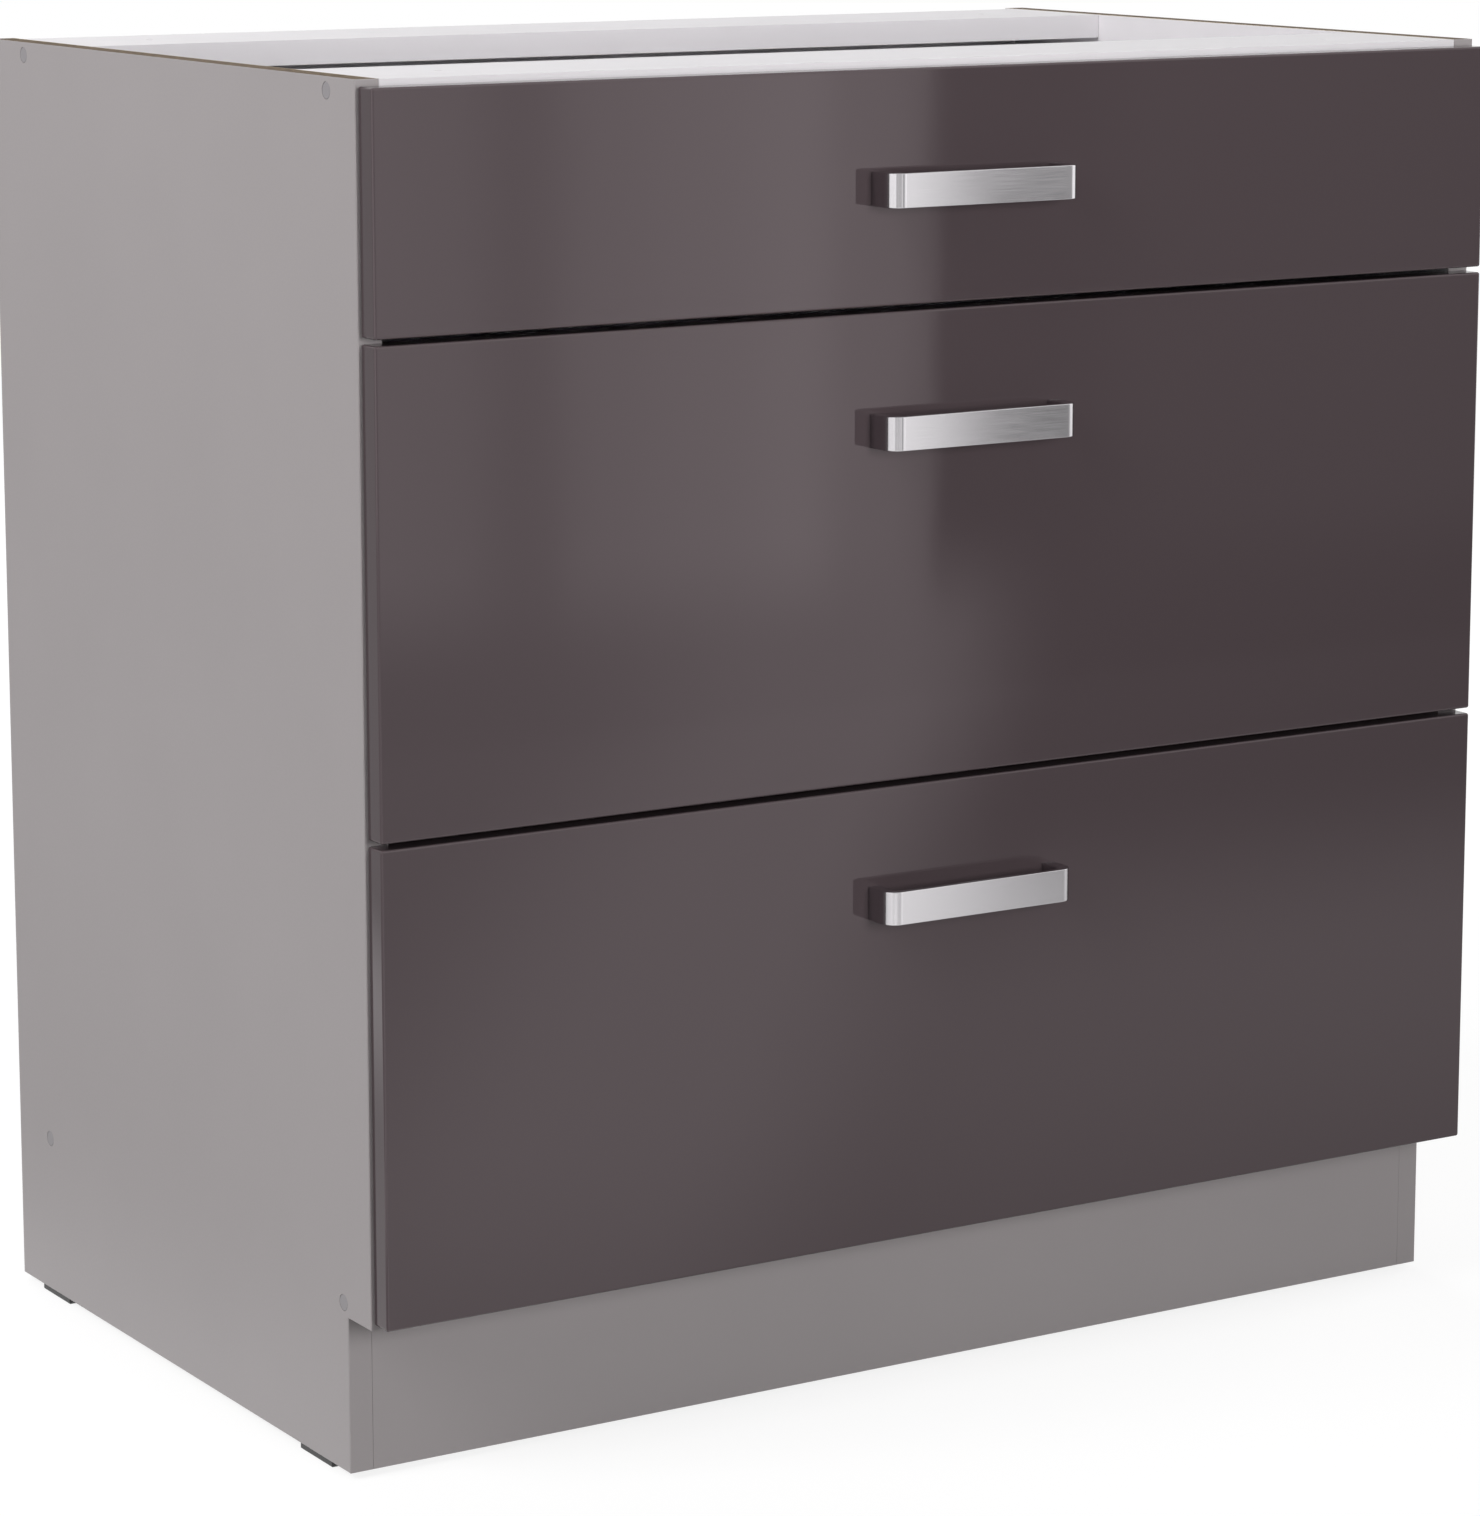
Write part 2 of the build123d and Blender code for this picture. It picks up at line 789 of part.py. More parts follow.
# ---- the whole cabinet ----
def carcass_nodes():
    left_panel = side_panel()
    nodes = {
        "side_panel_left": left_panel,
        "side_panel_right": mirrored(left_panel),
        "bottom_panel": bottom_panel(),
        "front_rail": front_rail(),
        "rear_rail": rear_rail(),
        "back_panel": back_panel(),
        "plinth_board": plinth_board(),
        "plinth_brackets": plinth_brackets(),
        "floor_glides": floor_glides(),
        "carcass_screws": carcass_screws(),
        "cover_caps": cover_caps(),
        "edge_bands": edge_bands(),
        "runner_screws": runner_screws(),
    }
    for drawer in drawers:
        left_runner = runner(drawer)
        left_roller = runner_roller(drawer)
        nodes[drawer.name + "_runner_left"] = left_runner
        nodes[drawer.name + "_runner_right"] = mirrored(left_runner)
        nodes[drawer.name + "_runner_roller_left"] = left_roller
        nodes[drawer.name + "_runner_roller_right"] = mirrored(left_roller)
    return nodes


def drawer_nodes(drawer):
    left_side = drawer_side(drawer)
    left_roller = drawer_roller(drawer)
    pieces = {
        "front": drawer_front(drawer),
        "handle": handle(drawer),
        "handle_screws": handle_screws(drawer),
        "side_left": left_side,
        "side_right": mirrored(left_side),
        "base": drawer_base(drawer),
        "back": drawer_back(drawer),
        "front_brackets": front_brackets(drawer),
        "box_screws": box_screws(drawer),
        "roller_left": left_roller,
        "roller_right": mirrored(left_roller),
    }
    if drawer.has_gallery:
        pieces["gallery_rails"] = gallery_rails(drawer)
    return {drawer.name + "_" + name: piece for name, piece in pieces.items()}


all_nodes = carcass_nodes()
for each_drawer in drawers:
    all_nodes.update(drawer_nodes(each_drawer))

os.makedirs("parts", exist_ok=True)
for node_name, shape in all_nodes.items():
    export_step(shape, "parts/" + node_name + ".step")
print(len(all_nodes), "nodes")
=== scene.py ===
import json
import math
from functools import partial

import bmesh
import bpy
from bpy.props import FloatProperty, FloatVectorProperty, IntProperty, PointerProperty
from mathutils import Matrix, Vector

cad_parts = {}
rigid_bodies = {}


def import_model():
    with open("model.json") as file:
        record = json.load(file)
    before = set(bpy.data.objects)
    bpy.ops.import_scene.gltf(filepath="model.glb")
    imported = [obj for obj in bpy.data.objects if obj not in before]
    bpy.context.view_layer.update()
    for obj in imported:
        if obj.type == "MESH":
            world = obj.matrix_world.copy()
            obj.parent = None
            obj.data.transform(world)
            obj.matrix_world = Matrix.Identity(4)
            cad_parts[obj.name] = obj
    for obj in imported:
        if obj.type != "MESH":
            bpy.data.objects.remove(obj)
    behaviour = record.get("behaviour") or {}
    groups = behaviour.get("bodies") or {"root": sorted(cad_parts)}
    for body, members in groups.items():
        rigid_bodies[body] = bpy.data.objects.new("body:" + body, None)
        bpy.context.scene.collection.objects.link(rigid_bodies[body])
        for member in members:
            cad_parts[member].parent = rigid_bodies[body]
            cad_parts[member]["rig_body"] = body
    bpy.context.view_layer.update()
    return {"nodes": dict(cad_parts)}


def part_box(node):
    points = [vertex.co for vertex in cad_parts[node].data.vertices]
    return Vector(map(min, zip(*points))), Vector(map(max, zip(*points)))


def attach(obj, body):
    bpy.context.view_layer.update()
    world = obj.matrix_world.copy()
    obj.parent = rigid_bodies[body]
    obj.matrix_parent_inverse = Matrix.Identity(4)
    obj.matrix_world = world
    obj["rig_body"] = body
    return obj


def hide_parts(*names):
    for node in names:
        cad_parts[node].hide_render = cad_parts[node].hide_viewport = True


# Finishes and fine shapes of a kitchen base cabinet with one shallow and two deep drawers.
# Metres. +X is right as seen from the front, +Y runs to the back, +Z is up.

bl_info = {
    "name": "Base Cabinet Finishes",
    "version": (1, 0, 0),
    "blender": (4, 5, 0),
    "location": "3D View > Sidebar > Cabinet",
    "description": "Boards, gloss fronts, bow handles and roller runners of a kitchen base cabinet",
    "category": "Object",
}

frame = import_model()

MM = 0.001
DRAWERS = ("top", "middle", "bottom")
SIDES = ("left", "right")

# A side panel, and the space between the two, from the frame.
PANEL_LOW, PANEL_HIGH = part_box("side_panel_left")
PANEL_THICKNESS = PANEL_HIGH.x - PANEL_LOW.x
PANEL_MIDDLE = -(PANEL_LOW.x + PANEL_HIGH.x) / 2
INNER_HALF = -PANEL_HIGH.x

# The camera, fitted to the photograph: metres, degrees and millimetres.
CAMERA_PLACE = (-1.6765, -2.6962, 0.9884)
CAMERA_TURN = 31.8852
CAMERA_DIP = 9.8707
CAMERA_LENS = 118.2
CAMERA_SHIFT = (-0.00626, -0.08)

# How a merged CAD mesh is made whole again, and which of its edges are rounded.
WELD = 0.004 * MM
SLIVER = 0.05 * MM
FLAT_ANGLE = math.radians(0.4)
SHARP_ANGLE = math.radians(50)
SMOOTH_ANGLE = math.radians(35)
LEAST_SOFT_EDGE = 12 * MM

# How fine the round pieces and edges are.
EDGE_STEPS = 2
HANDLE_EDGE_STEPS = 3
ROUND_STEPS = 40
HEAD_STEPS = 24
SHANK_STEPS = 12
FRONT_STEPS = 5
RING_WELD = 0.01 * MM

# A straight screw head is drawn in to this share of its radius at its top.
HEAD_TOP_SHARE = 0.82
# Heights of the two cutters of a cross recess, in recess depths; half stands above the head.
RECESS_CUTS = (2.0, 2.1)
# A riveted head's outline, in shares of its radius and height.
RIVET_OUTLINE = ((1.0, 0.60), (0.96, 0.82), (0.72, 0.95), (0.0, 1.0))

# Raw chipboard: its laminate lines, and where chips give way to dust, out from the board's middle.
OUTER_LAMINATE = 0.35 * MM
INNER_LAMINATE = 0.9 * MM
DUST_LAYER = (4.0 * MM, 5.4 * MM)
PAPER = "#E2D3B8"

# A face looks along an axis, or squarely along it, when its normal's part there is larger.
ALONG = 0.5
SQUARELY = 0.9

# Most of a noise lies between these two values.
NOISE_SPAN = (0.3, 0.7)


def colour(code):
    """An sRGB hex colour as linear RGBA."""
    parts = [int(code[i : i + 2], 16) / 255 for i in (1, 3, 5)]
    return [c / 12.92 if c <= 0.04045 else ((c + 0.055) / 1.055) ** 2.4 for c in parts] + [1.0]


# ---- settings that a user may change ----
def length(name, description, millimetres):
    size = {"default": millimetres * MM, "min": 0.0, "unit": "LENGTH", "subtype": "DISTANCE"}
    return FloatProperty(name=name, description=description, **size)


def tint(name, description, code):
    shown = {"default": colour(code), "size": 4, "min": 0.0, "max": 1.0, "subtype": "COLOR"}
    return FloatVectorProperty(name=name, description=description, **shown)


class CabinetSizes(bpy.types.PropertyGroup):
    """Small sizes that finish the pieces."""

    board_edge: length("Board edge", "Radius along the edges of the boards", 0.35)
    band_edge: length("Band edge", "Radius along the edge bands", 0.3)
    front_edge: length("Front edge", "Radius round the face and the corners of a drawer front", 1.5)
    handle_arm: length("Handle arm", "Thickness of a handle's arms", 8.4)
    handle_bar: length("Handle bar", "Thickness of a handle's bar", 4.0)
    handle_outer: length("Handle outer corner", "Outer radius of a handle's corners", 9.7)
    handle_inner: length("Handle inner corner", "Inner radius of a handle's corners", 5.0)
    handle_edge: length("Handle edge", "Radius along a handle's edges", 0.5)
    handle_steps: IntProperty(
        name="Corner steps", description="Faces round a handle's outer corner", default=14, min=3
    )
    recess_length: length("Recess length", "Length of a screw's cross recess", 3.6)
    recess_width: length("Recess width", "Width of a screw's cross recess", 0.9)
    recess_depth: length("Recess depth", "Depth of a screw's cross recess", 0.9)
    cap_chamfer: length("Cap chamfer", "Chamfer round a cover cap", 0.35)
    roller_chamfer: length("Roller chamfer", "Chamfer round a roller's tread", 0.6)
    roller_bore: length("Roller bore", "Radius of a roller's bore", 2.05)
    roller_recess: length("Roller recess", "Radius of the recess for the rivet head", 3.95)
    recess_floor: length("Roller recess depth", "Depth of the recess for the rivet head", 1.2)
    rivet_radius: length("Rivet radius", "Radius of a roller pin's riveted head", 3.36)
    rivet_height: length("Rivet height", "Height of a roller pin's riveted head", 0.98)
    rail_wall: length("Rail wall", "Wall of a gallery rail's tube", 1.0)
    cup_floor: length("Cup floor", "Thickness of a rail cup's floor", 2.0)
    cup_chamfer: length("Cup chamfer", "Chamfer round a rail cup's mouth", 0.6)


class CabinetColours(bpy.types.PropertyGroup):
    """Colours of the finishes."""

    grey_board: tint("Grey board", "Melamine of the side panels and plinth", "#A49E9F")
    white_board: tint("White board", "Melamine inside the cabinet", "#E4E1E4")
    chip_dark: tint("Dark chips", "Darker chips in a raw board edge", "#453A2F")
    chip_pale: tint("Pale chips", "Paler chips in a raw board edge", "#75644E")
    fibreboard: tint("Fibreboard", "Bare back of the back panel", "#8D7050")
    gloss_front: tint("Gloss front", "Foil of the drawer fronts", "#4D4346")
    chrome: tint("Chrome", "Plating of the handles", "#D3D0D3")
    powder_coat: tint("Powder coat", "Paint of the steel runners and drawer sides", "#CDCDCF")
    zinc: tint("Zinc", "Plating of brackets and screws", "#C3C6C9")
    nylon: tint("Nylon", "Rollers", "#E4E2DA")
    black_plastic: tint("Black plastic", "Floor glides", "#121112")
    grey_plastic: tint("Grey plastic", "Cover caps, and cups of the gallery rails", "#938F92")


# ---- small tools ----
def add_node(tree, kind, inputs=(), output=None, **settings):
    """Adds a node with its settings, gives its inputs their values or links, and returns an output.

    Inputs are named, or in the order in which the node shows them. The output is the first that
    the node shows, or the one that is named.
    """
    node = tree.nodes.new(kind)
    for setting, value in settings.items():
        setattr(node, setting, value)
    if isinstance(inputs, dict):
        pairs = [(node.inputs[name], value) for name, value in inputs.items()]
    else:
        pairs = zip([socket for socket in node.inputs if socket.enabled], inputs)
    for socket, value in pairs:
        for item in value if socket.is_multi_input else [value]:
            if isinstance(item, bpy.types.NodeSocket):
                tree.links.new(item, socket)
            else:
                socket.default_value = item
    if output:
        return node.outputs[output]
    return next((socket for socket in node.outputs if socket.enabled), None)


def new_material(name, surface, *given):
    """A material whose shader comes from a function of its object coordinates."""
    material = bpy.data.materials.new(name)
    material.use_nodes = True
    material.node_tree.nodes.clear()
    add = partial(add_node, material.node_tree)
    place = add("ShaderNodeTexCoord", output="Object")
    add("ShaderNodeOutputMaterial", [surface(add, place, *given)])
    return material


def shaded(base, share):
    """A colour made darker or lighter by a share."""
    return [min(1.0, c * (1 + share)) for c in base[:3]] + [1.0]


# ---- materials ----
def melamine(add, place, base):
    """Melamine-faced chipboard: printed paper pressed under hard resin, even in colour, satin."""
    cloud = add("ShaderNodeTexNoise", {"Vector": place, "Scale": 1 / (90 * MM)})
    share = add("ShaderNodeMapRange", (cloud, *NOISE_SPAN))
    tones = shaded(base, -0.012), shaded(base, 0.012)
    # The press plate's pearl is finer than 1 mm; it is drawn at 1.6 mm so that it shows.
    pearl = add("ShaderNodeTexNoise", {"Vector": place, "Scale": 1 / (1.6 * MM)})
    return add("ShaderNodeBsdfPrincipled", {
        "Base Color": add("ShaderNodeMix", (share, *tones), data_type="RGBA"),
        "Roughness": add("ShaderNodeMapRange", (pearl, *NOISE_SPAN, 0.38, 0.47)),
        "IOR": 1.5,
        "Normal": add("ShaderNodeBump", {"Height": pearl, "Distance": 0.012 * MM}),
    })


def raw_chipboard(add, place, dark, pale, laminates):
    """Sawn chipboard edge: coarse chips in the core, fine dust layers, a laminate line at each face."""
    drawn_out = add("ShaderNodeMapping", {"Vector": place, "Scale": (1.0, 0.4, 0.4)})
    chips = add("ShaderNodeTexVoronoi", {"Vector": drawn_out, "Scale": 1 / (1.9 * MM)}).node.outputs
    dust = add("ShaderNodeTexNoise", {"Vector": place, "Scale": 1 / (0.7 * MM), "Detail": 3.0})
    dust_share = add("ShaderNodeMapRange", (dust, *NOISE_SPAN, 0.2, 0.9))
    half_width = add("ShaderNodeMath", [add("ShaderNodeSeparateXYZ", [place])], operation="ABSOLUTE")
    offset = add("ShaderNodeMath", (half_width, PANEL_MIDDLE), operation="SUBTRACT")
    depth = add("ShaderNodeMath", [offset], operation="ABSOLUTE")
    in_dust = add("ShaderNodeMapRange", (depth, *DUST_LAYER))
    core = add("ShaderNodeMix", (chips["Color"], dark, pale), data_type="RGBA")
    fine = add("ShaderNodeMix", (dust_share, dark, pale), data_type="RGBA")
    tone = add("ShaderNodeMix", (in_dust, core, fine), data_type="RGBA")
    for laminate, edge, operation in (
        (laminates[0], PANEL_THICKNESS / 2 - OUTER_LAMINATE, "GREATER_THAN"),
        (laminates[1], INNER_LAMINATE - PANEL_THICKNESS / 2, "LESS_THAN"),
    ):
        line = add("ShaderNodeMath", (offset, edge), operation=operation)
        tone = add("ShaderNodeMix", (line, tone, laminate), data_type="RGBA")
    rough = {"Height": chips["Distance"], "Distance": 0.25 * MM, "Strength": 0.6}
    return add("ShaderNodeBsdfPrincipled", {
        "Base Color": tone, "Roughness": 0.85, "IOR": 1.45, "Normal": add("ShaderNodeBump", rough),
    })


def bare_fibreboard(add, place, base):
    """Thin fibreboard, bare side: pressed brown fibres, matt, with darker flecks and soft clouds."""
    along = add("ShaderNodeMapping", {"Vector": place, "Scale": (1.0, 1.0, 1 / 3)})
    across = add("ShaderNodeMapping", {"Vector": place, "Scale": (1 / 2.2, 1.0, 1.0)})
    clouds = add("ShaderNodeTexNoise", {"Vector": place, "Scale": 1 / (60 * MM), "Detail": 4.0})
    fibres = add("ShaderNodeTexNoise", {"Vector": along, "Scale": 1 / (1.3 * MM), "Detail": 4.0})
    flecks = add("ShaderNodeTexNoise", {"Vector": across, "Scale": 1 / (2.6 * MM), "Detail": 1.0})
    tone = shaded(base, -0.10)
    for pattern, span, other in (
        (clouds, NOISE_SPAN, shaded(base, 0.08)),
        (fibres, (*NOISE_SPAN, 0.0, 0.55), shaded(base, -0.35)),
        (flecks, (0.66, 0.74, 0.0, 0.6), shaded(base, -0.6)),
    ):
        share = add("ShaderNodeMapRange", (pattern, *span))
        tone = add("ShaderNodeMix", (share, tone, other), data_type="RGBA")
    raised = add("ShaderNodeBump", {"Height": fibres, "Distance": 0.06 * MM})
    return add("ShaderNodeBsdfPrincipled", {
        "Base Color": tone, "Roughness": 0.8, "IOR": 1.45, "Normal": raised,
    })


def gloss_foil(add, place, base):
    """High-gloss foil on fibreboard: one deep colour under a mirror-like film with a faint ripple."""
    drawn_out = add("ShaderNodeMapping", {"Vector": place, "Scale": (1.0, 1.0, 1 / 1.8)})
    ripple = add("ShaderNodeTexNoise", {"Vector": drawn_out, "Scale": 1 / (45 * MM), "Detail": 1.0})
    peel = add("ShaderNodeTexNoise", {"Vector": place, "Scale": 1 / (4 * MM), "Detail": 1.0})
    height = add("ShaderNodeMix", (0.06, ripple, peel))
    return add("ShaderNodeBsdfPrincipled", {
        "Base Color": base,
        "Roughness": 0.035,
        "IOR": 1.5,
        "Specular Tint": (1.0, 0.89, 0.92, 1.0),
        "Normal": add("ShaderNodeBump", {"Height": height, "Distance": 0.05 * MM}),
    })


def brushed_chrome(add, place, base):
    """Chrome on a zinc casting brushed along the bar: sharp across it, drawn out up and down."""
    drawn_out = add("ShaderNodeMapping", {"Vector": place, "Scale": (1 / 60, 1 / 60, 1.0)})
    lines = add("ShaderNodeTexNoise", {"Vector": drawn_out, "Scale": 1 / (0.5 * MM)})
    return add("ShaderNodeBsdfPrincipled", {
        "Base Color": base,
        "Metallic": 1.0,
        "Roughness": add("ShaderNodeMapRange", (lines, *NOISE_SPAN, 0.17, 0.23)),
        "Anisotropic": 1.0,
        "Anisotropic Rotation": 0.25,
        "Tangent": add("ShaderNodeTangent", direction_type="RADIAL", axis="Z"),
        "Normal": add("ShaderNodeBump", {"Height": lines, "Distance": 0.01 * MM}),
    })


def powder_coated(add, place, base):
    """Epoxy powder coat on sheet steel: pale grey, half gloss, with a fine orange peel."""
    peel = add("ShaderNodeTexNoise", {"Vector": place, "Scale": 1 / (1.4 * MM), "Detail": 1.5})
    return add("ShaderNodeBsdfPrincipled", {
        "Base Color": base,
        "Roughness": add("ShaderNodeMapRange", (peel, *NOISE_SPAN, 0.32, 0.42)),
        "IOR": 1.5,
        "Normal": add("ShaderNodeBump", {"Height": peel, "Distance": 0.02 * MM}),
    })


def zinc_plated(add, place, base):
    """Bright zinc plate: a grey metal with small spangles and a slight straw tint."""
    spangle = add("ShaderNodeTexVoronoi", {"Vector": place, "Scale": 1 / (3.5 * MM)}, "Color")
    grain = add("ShaderNodeSeparateColor", [spangle])
    cloud = add("ShaderNodeTexNoise", {"Vector": place, "Scale": 1 / (25 * MM)})
    share = add("ShaderNodeMapRange", (cloud, *NOISE_SPAN))
    straw = [base[0], base[1] * 0.97, base[2] * 0.86, 1.0]
    return add("ShaderNodeBsdfPrincipled", {
        "Base Color": add("ShaderNodeMix", (share, shaded(base, 0.03), straw), data_type="RGBA"),
        "Metallic": 1.0,
        "Roughness": add("ShaderNodeMapRange", (grain, 0.0, 1.0, 0.26, 0.44)),
    })


def moulded_plastic(add, place, base, roughness, grain, depth, subsurface=0.0):
    """Injection-moulded plastic with the spark-eroded texture of its mould."""
    texture = add("ShaderNodeTexNoise", {"Vector": place, "Scale": 1 / grain})
    spread = (*NOISE_SPAN, roughness - 0.05, roughness + 0.05)
    return add("ShaderNodeBsdfPrincipled", {
        "Base Color": base,
        "Roughness": add("ShaderNodeMapRange", (texture, *spread)),
        "IOR": 1.5,
        "Subsurface Weight": subsurface,
        "Subsurface Radius": (1.0, 0.9, 0.8),
        "Subsurface Scale": 0.8 * MM,
        "Normal": add("ShaderNodeBump", {"Height": texture, "Distance": depth}),
    })


def make_materials():
    """All finishes of the cabinet, each under the name of its material."""
    chosen = bpy.context.scene.cabinet_colours
    hue = {name: list(getattr(chosen, name)) for name in CabinetColours.__annotations__}
    laminates = (hue["grey_board"], colour(PAPER))
    recipes = {
        "grey_melamine": (melamine, "grey_board"),
        "white_melamine": (melamine, "white_board"),
        "raw_chipboard": (raw_chipboard, "chip_dark", hue["chip_pale"], laminates),
        "bare_fibreboard": (bare_fibreboard, "fibreboard"),
        "gloss_foil": (gloss_foil, "gloss_front"),
        "brushed_chrome": (brushed_chrome, "chrome"),
        "powder_coated_steel": (powder_coated, "powder_coat"),
        "zinc_plated_steel": (zinc_plated, "zinc"),
        "nylon": (moulded_plastic, "nylon", 0.42, 0.8 * MM, 0.008 * MM, 0.15),
        "black_polyethylene": (moulded_plastic, "black_plastic", 0.45, 0.9 * MM, 0.03 * MM),
        "grey_polypropylene": (moulded_plastic, "grey_plastic", 0.40, 0.8 * MM, 0.01 * MM),
    }
    return {
        name: new_material(name, surface, hue[base], *rest)
        for name, (surface, base, *rest) in recipes.items()
    }


materials = {}


def finish(name):
    """A finish by name; all of them are made the first time one is asked for."""
    if not materials:
        materials.update(make_materials())
    return materials[name]


# ---- making and placing meshes ----
def merged_shape(node, belongs=None):
    """A CAD node's loose triangles, merged, with each flat face made whole.

    Solids that touch are merged apart: belongs picks one group by a point just inside each triangle.
    """
    shape = bmesh.new()
    shape.from_mesh(frame["nodes"][node].data)
    if belongs:
        others = [f for f in shape.faces if not belongs(f.calc_center_median() - f.normal * WELD)]
        bmesh.ops.delete(shape, geom=others, context="FACES")
    bmesh.ops.remove_doubles(shape, verts=shape.verts, dist=WELD)
    parts = {"verts": shape.verts, "edges": shape.edges}
    bmesh.ops.dissolve_limit(shape, angle_limit=FLAT_ANGLE, use_dissolve_boundaries=False, **parts)
    return shape


round_edges = partial(bmesh.ops.bevel, profile=0.5, affect="EDGES")


def soften(shape, radius, segments=EDGE_STEPS, least=LEAST_SOFT_EDGE):
    """Rounds the long sharp edges of a shape."""
    edges = [
        edge
        for edge in shape.edges
        if edge.is_manifold and edge.calc_length() > least and edge.calc_face_angle(0.0) > SHARP_ANGLE
    ]
    round_edges(shape, geom=edges, offset=radius, segments=segments, clamp_overlap=True)


def add_object(name, data):
    """A new object in the scene."""
    obj = bpy.data.objects.new(name, data)
    bpy.context.scene.collection.objects.link(obj)
    return obj


def new_piece(name, shape):
    """A smooth-shaded object from a shape, with its flat faces kept flat."""
    mesh = bpy.data.meshes.new(name)
    shape.to_mesh(mesh)
    shape.free()
    for extra in ("custom_normal", "sharp_edge", "sharp_face"):
        if extra in mesh.attributes:
            mesh.attributes.remove(mesh.attributes[extra])
    obj = add_object(name, mesh)
    mesh.shade_smooth()
    mesh.set_sharp_from_angle(angle=SMOOTH_ANGLE)
    weighted = obj.modifiers.new("flat faces stay flat", "WEIGHTED_NORMAL")
    weighted.keep_sharp = True
    return obj


def paint(obj, names, choose=None):
    """Gives a piece its finishes; choose picks one for each face by its number in names."""
    obj.data.materials.clear()
    for name in names:
        obj.data.materials.append(finish(name))
    if choose:
        for face in obj.data.polygons:
            face.material_index = choose(face)


def stand_for(obj, *nodes):
    """The piece rides on its nodes' body and replaces them."""
    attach(obj, frame["nodes"][nodes[0]]["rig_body"])
    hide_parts(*nodes)
    return obj


def dress(node, names, choose=None, edge=0.0, belongs=None, name=None):
    """Replaces a CAD node by its own shape, merged, softened and painted."""
    shape = merged_shape(node, belongs)
    if edge:
        soften(shape, edge)
    obj = new_piece(name or node + "_finished", shape)
    paint(obj, names, choose)
    return stand_for(obj, node)


def islands(node):
    """The points of each separate solid of a CAD node, in the order of its mesh."""
    shape = merged_shape(node)
    reached = set()
    found = []
    for first in shape.verts:
        if first in reached:
            continue
        reached.add(first)
        solid = [first]
        for vertex in solid:
            for edge in vertex.link_edges:
                other = edge.other_vert(vertex)
                if other not in reached:
                    reached.add(other)
                    solid.append(other)
        found.append([vertex.co.copy() for vertex in solid])
    shape.free()
    return found


def corners(points):
    """Lowest and highest corner of some points."""
    return Vector(map(min, zip(*points))), Vector(map(max, zip(*points)))


# ---- geometry node trees ----
def new_tree(name, sizes):
    """A geometry node tree with named sizes, the function that adds nodes to it, and its inputs."""
    tree = bpy.data.node_groups.new(name, "GeometryNodeTree")
    tree.interface.new_socket("Geometry", in_out="INPUT", socket_type="NodeSocketGeometry")
    for size in sizes:
        socket = tree.interface.new_socket(size, in_out="INPUT", socket_type="NodeSocketFloat")
        socket.subtype = "DISTANCE"
    tree.interface.new_socket("Finish", in_out="INPUT", socket_type="NodeSocketMaterial")
    tree.interface.new_socket("Geometry", in_out="OUTPUT", socket_type="NodeSocketGeometry")
    add = partial(add_node, tree)
    return tree, add, add("NodeGroupInput").node.outputs


def put_on_points(add, given, shape, seed):
    """Sets a shape on each point, turned to its aim with a seeded spin, and ends the tree."""
    aim = add("GeometryNodeInputNamedAttribute", ["aim"], data_type="FLOAT_VECTOR")
    facing = add("FunctionNodeAlignRotationToVector", {"Vector": aim}, axis="Z")
    # Inputs 2 and 3 are the least and greatest number.
    spin = add("FunctionNodeRandomValue", {2: 0.0, 3: math.tau, "Seed": seed}, data_type="FLOAT")
    about = add("FunctionNodeAxisAngleToRotation", ((0, 0, 1), spin))
    rotation = add("FunctionNodeRotateRotation", (facing, about), rotation_space="LOCAL")
    points = add("GeometryNodeInstanceOnPoints", {
        "Points": given["Geometry"], "Instance": shape, "Rotation": rotation,
    })
    real = add("GeometryNodeRealizeInstances", [points])
    done = add("GeometryNodeSetMaterial", {"Geometry": real, "Material": given["Finish"]})
    add("NodeGroupOutput", [done])


def screw_tree():
    """A screw on each point: a tapered head with a cross recess, and its shank."""
    tree, add, given = new_tree("cross_recess_screws", (
        "Rim Radius", "Seat Radius", "Head Height", "Shank Radius", "Shank Length",
        "Recess Length", "Recess Width", "Recess Depth",
    ))
    head = add("GeometryNodeMeshCone", {
        "Vertices": HEAD_STEPS,
        "Radius Top": given["Rim Radius"],
        "Radius Bottom": given["Seat Radius"],
        "Depth": given["Head Height"],
    })
    top = add("ShaderNodeCombineXYZ", {"Z": given["Head Height"]})
    # The second arm is cut a little deeper, so that the two floors don't coincide.
    arms = (("Recess Length", "Recess Width"), ("Recess Width", "Recess Length"))
    for (size_x, size_y), share in zip(arms, RECESS_CUTS):
        deep = add("ShaderNodeMath", (given["Recess Depth"], share), operation="MULTIPLY")
        size = add("ShaderNodeCombineXYZ", (given[size_x], given[size_y], deep))
        cutter = add("GeometryNodeTransform", (add("GeometryNodeMeshCube", [size]), top))
        head = add("GeometryNodeMeshBoolean", (head, [cutter]), operation="DIFFERENCE")
    shank = add("GeometryNodeMeshCylinder", {
        "Vertices": SHANK_STEPS, "Radius": given["Shank Radius"], "Depth": given["Shank Length"],
    })
    below = add("ShaderNodeMath", (given["Shank Length"], -0.5), operation="MULTIPLY")
    shank = add("GeometryNodeTransform", (shank, add("ShaderNodeCombineXYZ", {"Z": below})))
    put_on_points(add, given, add("GeometryNodeJoinGeometry", [[head, shank]]), seed=4)
    return tree


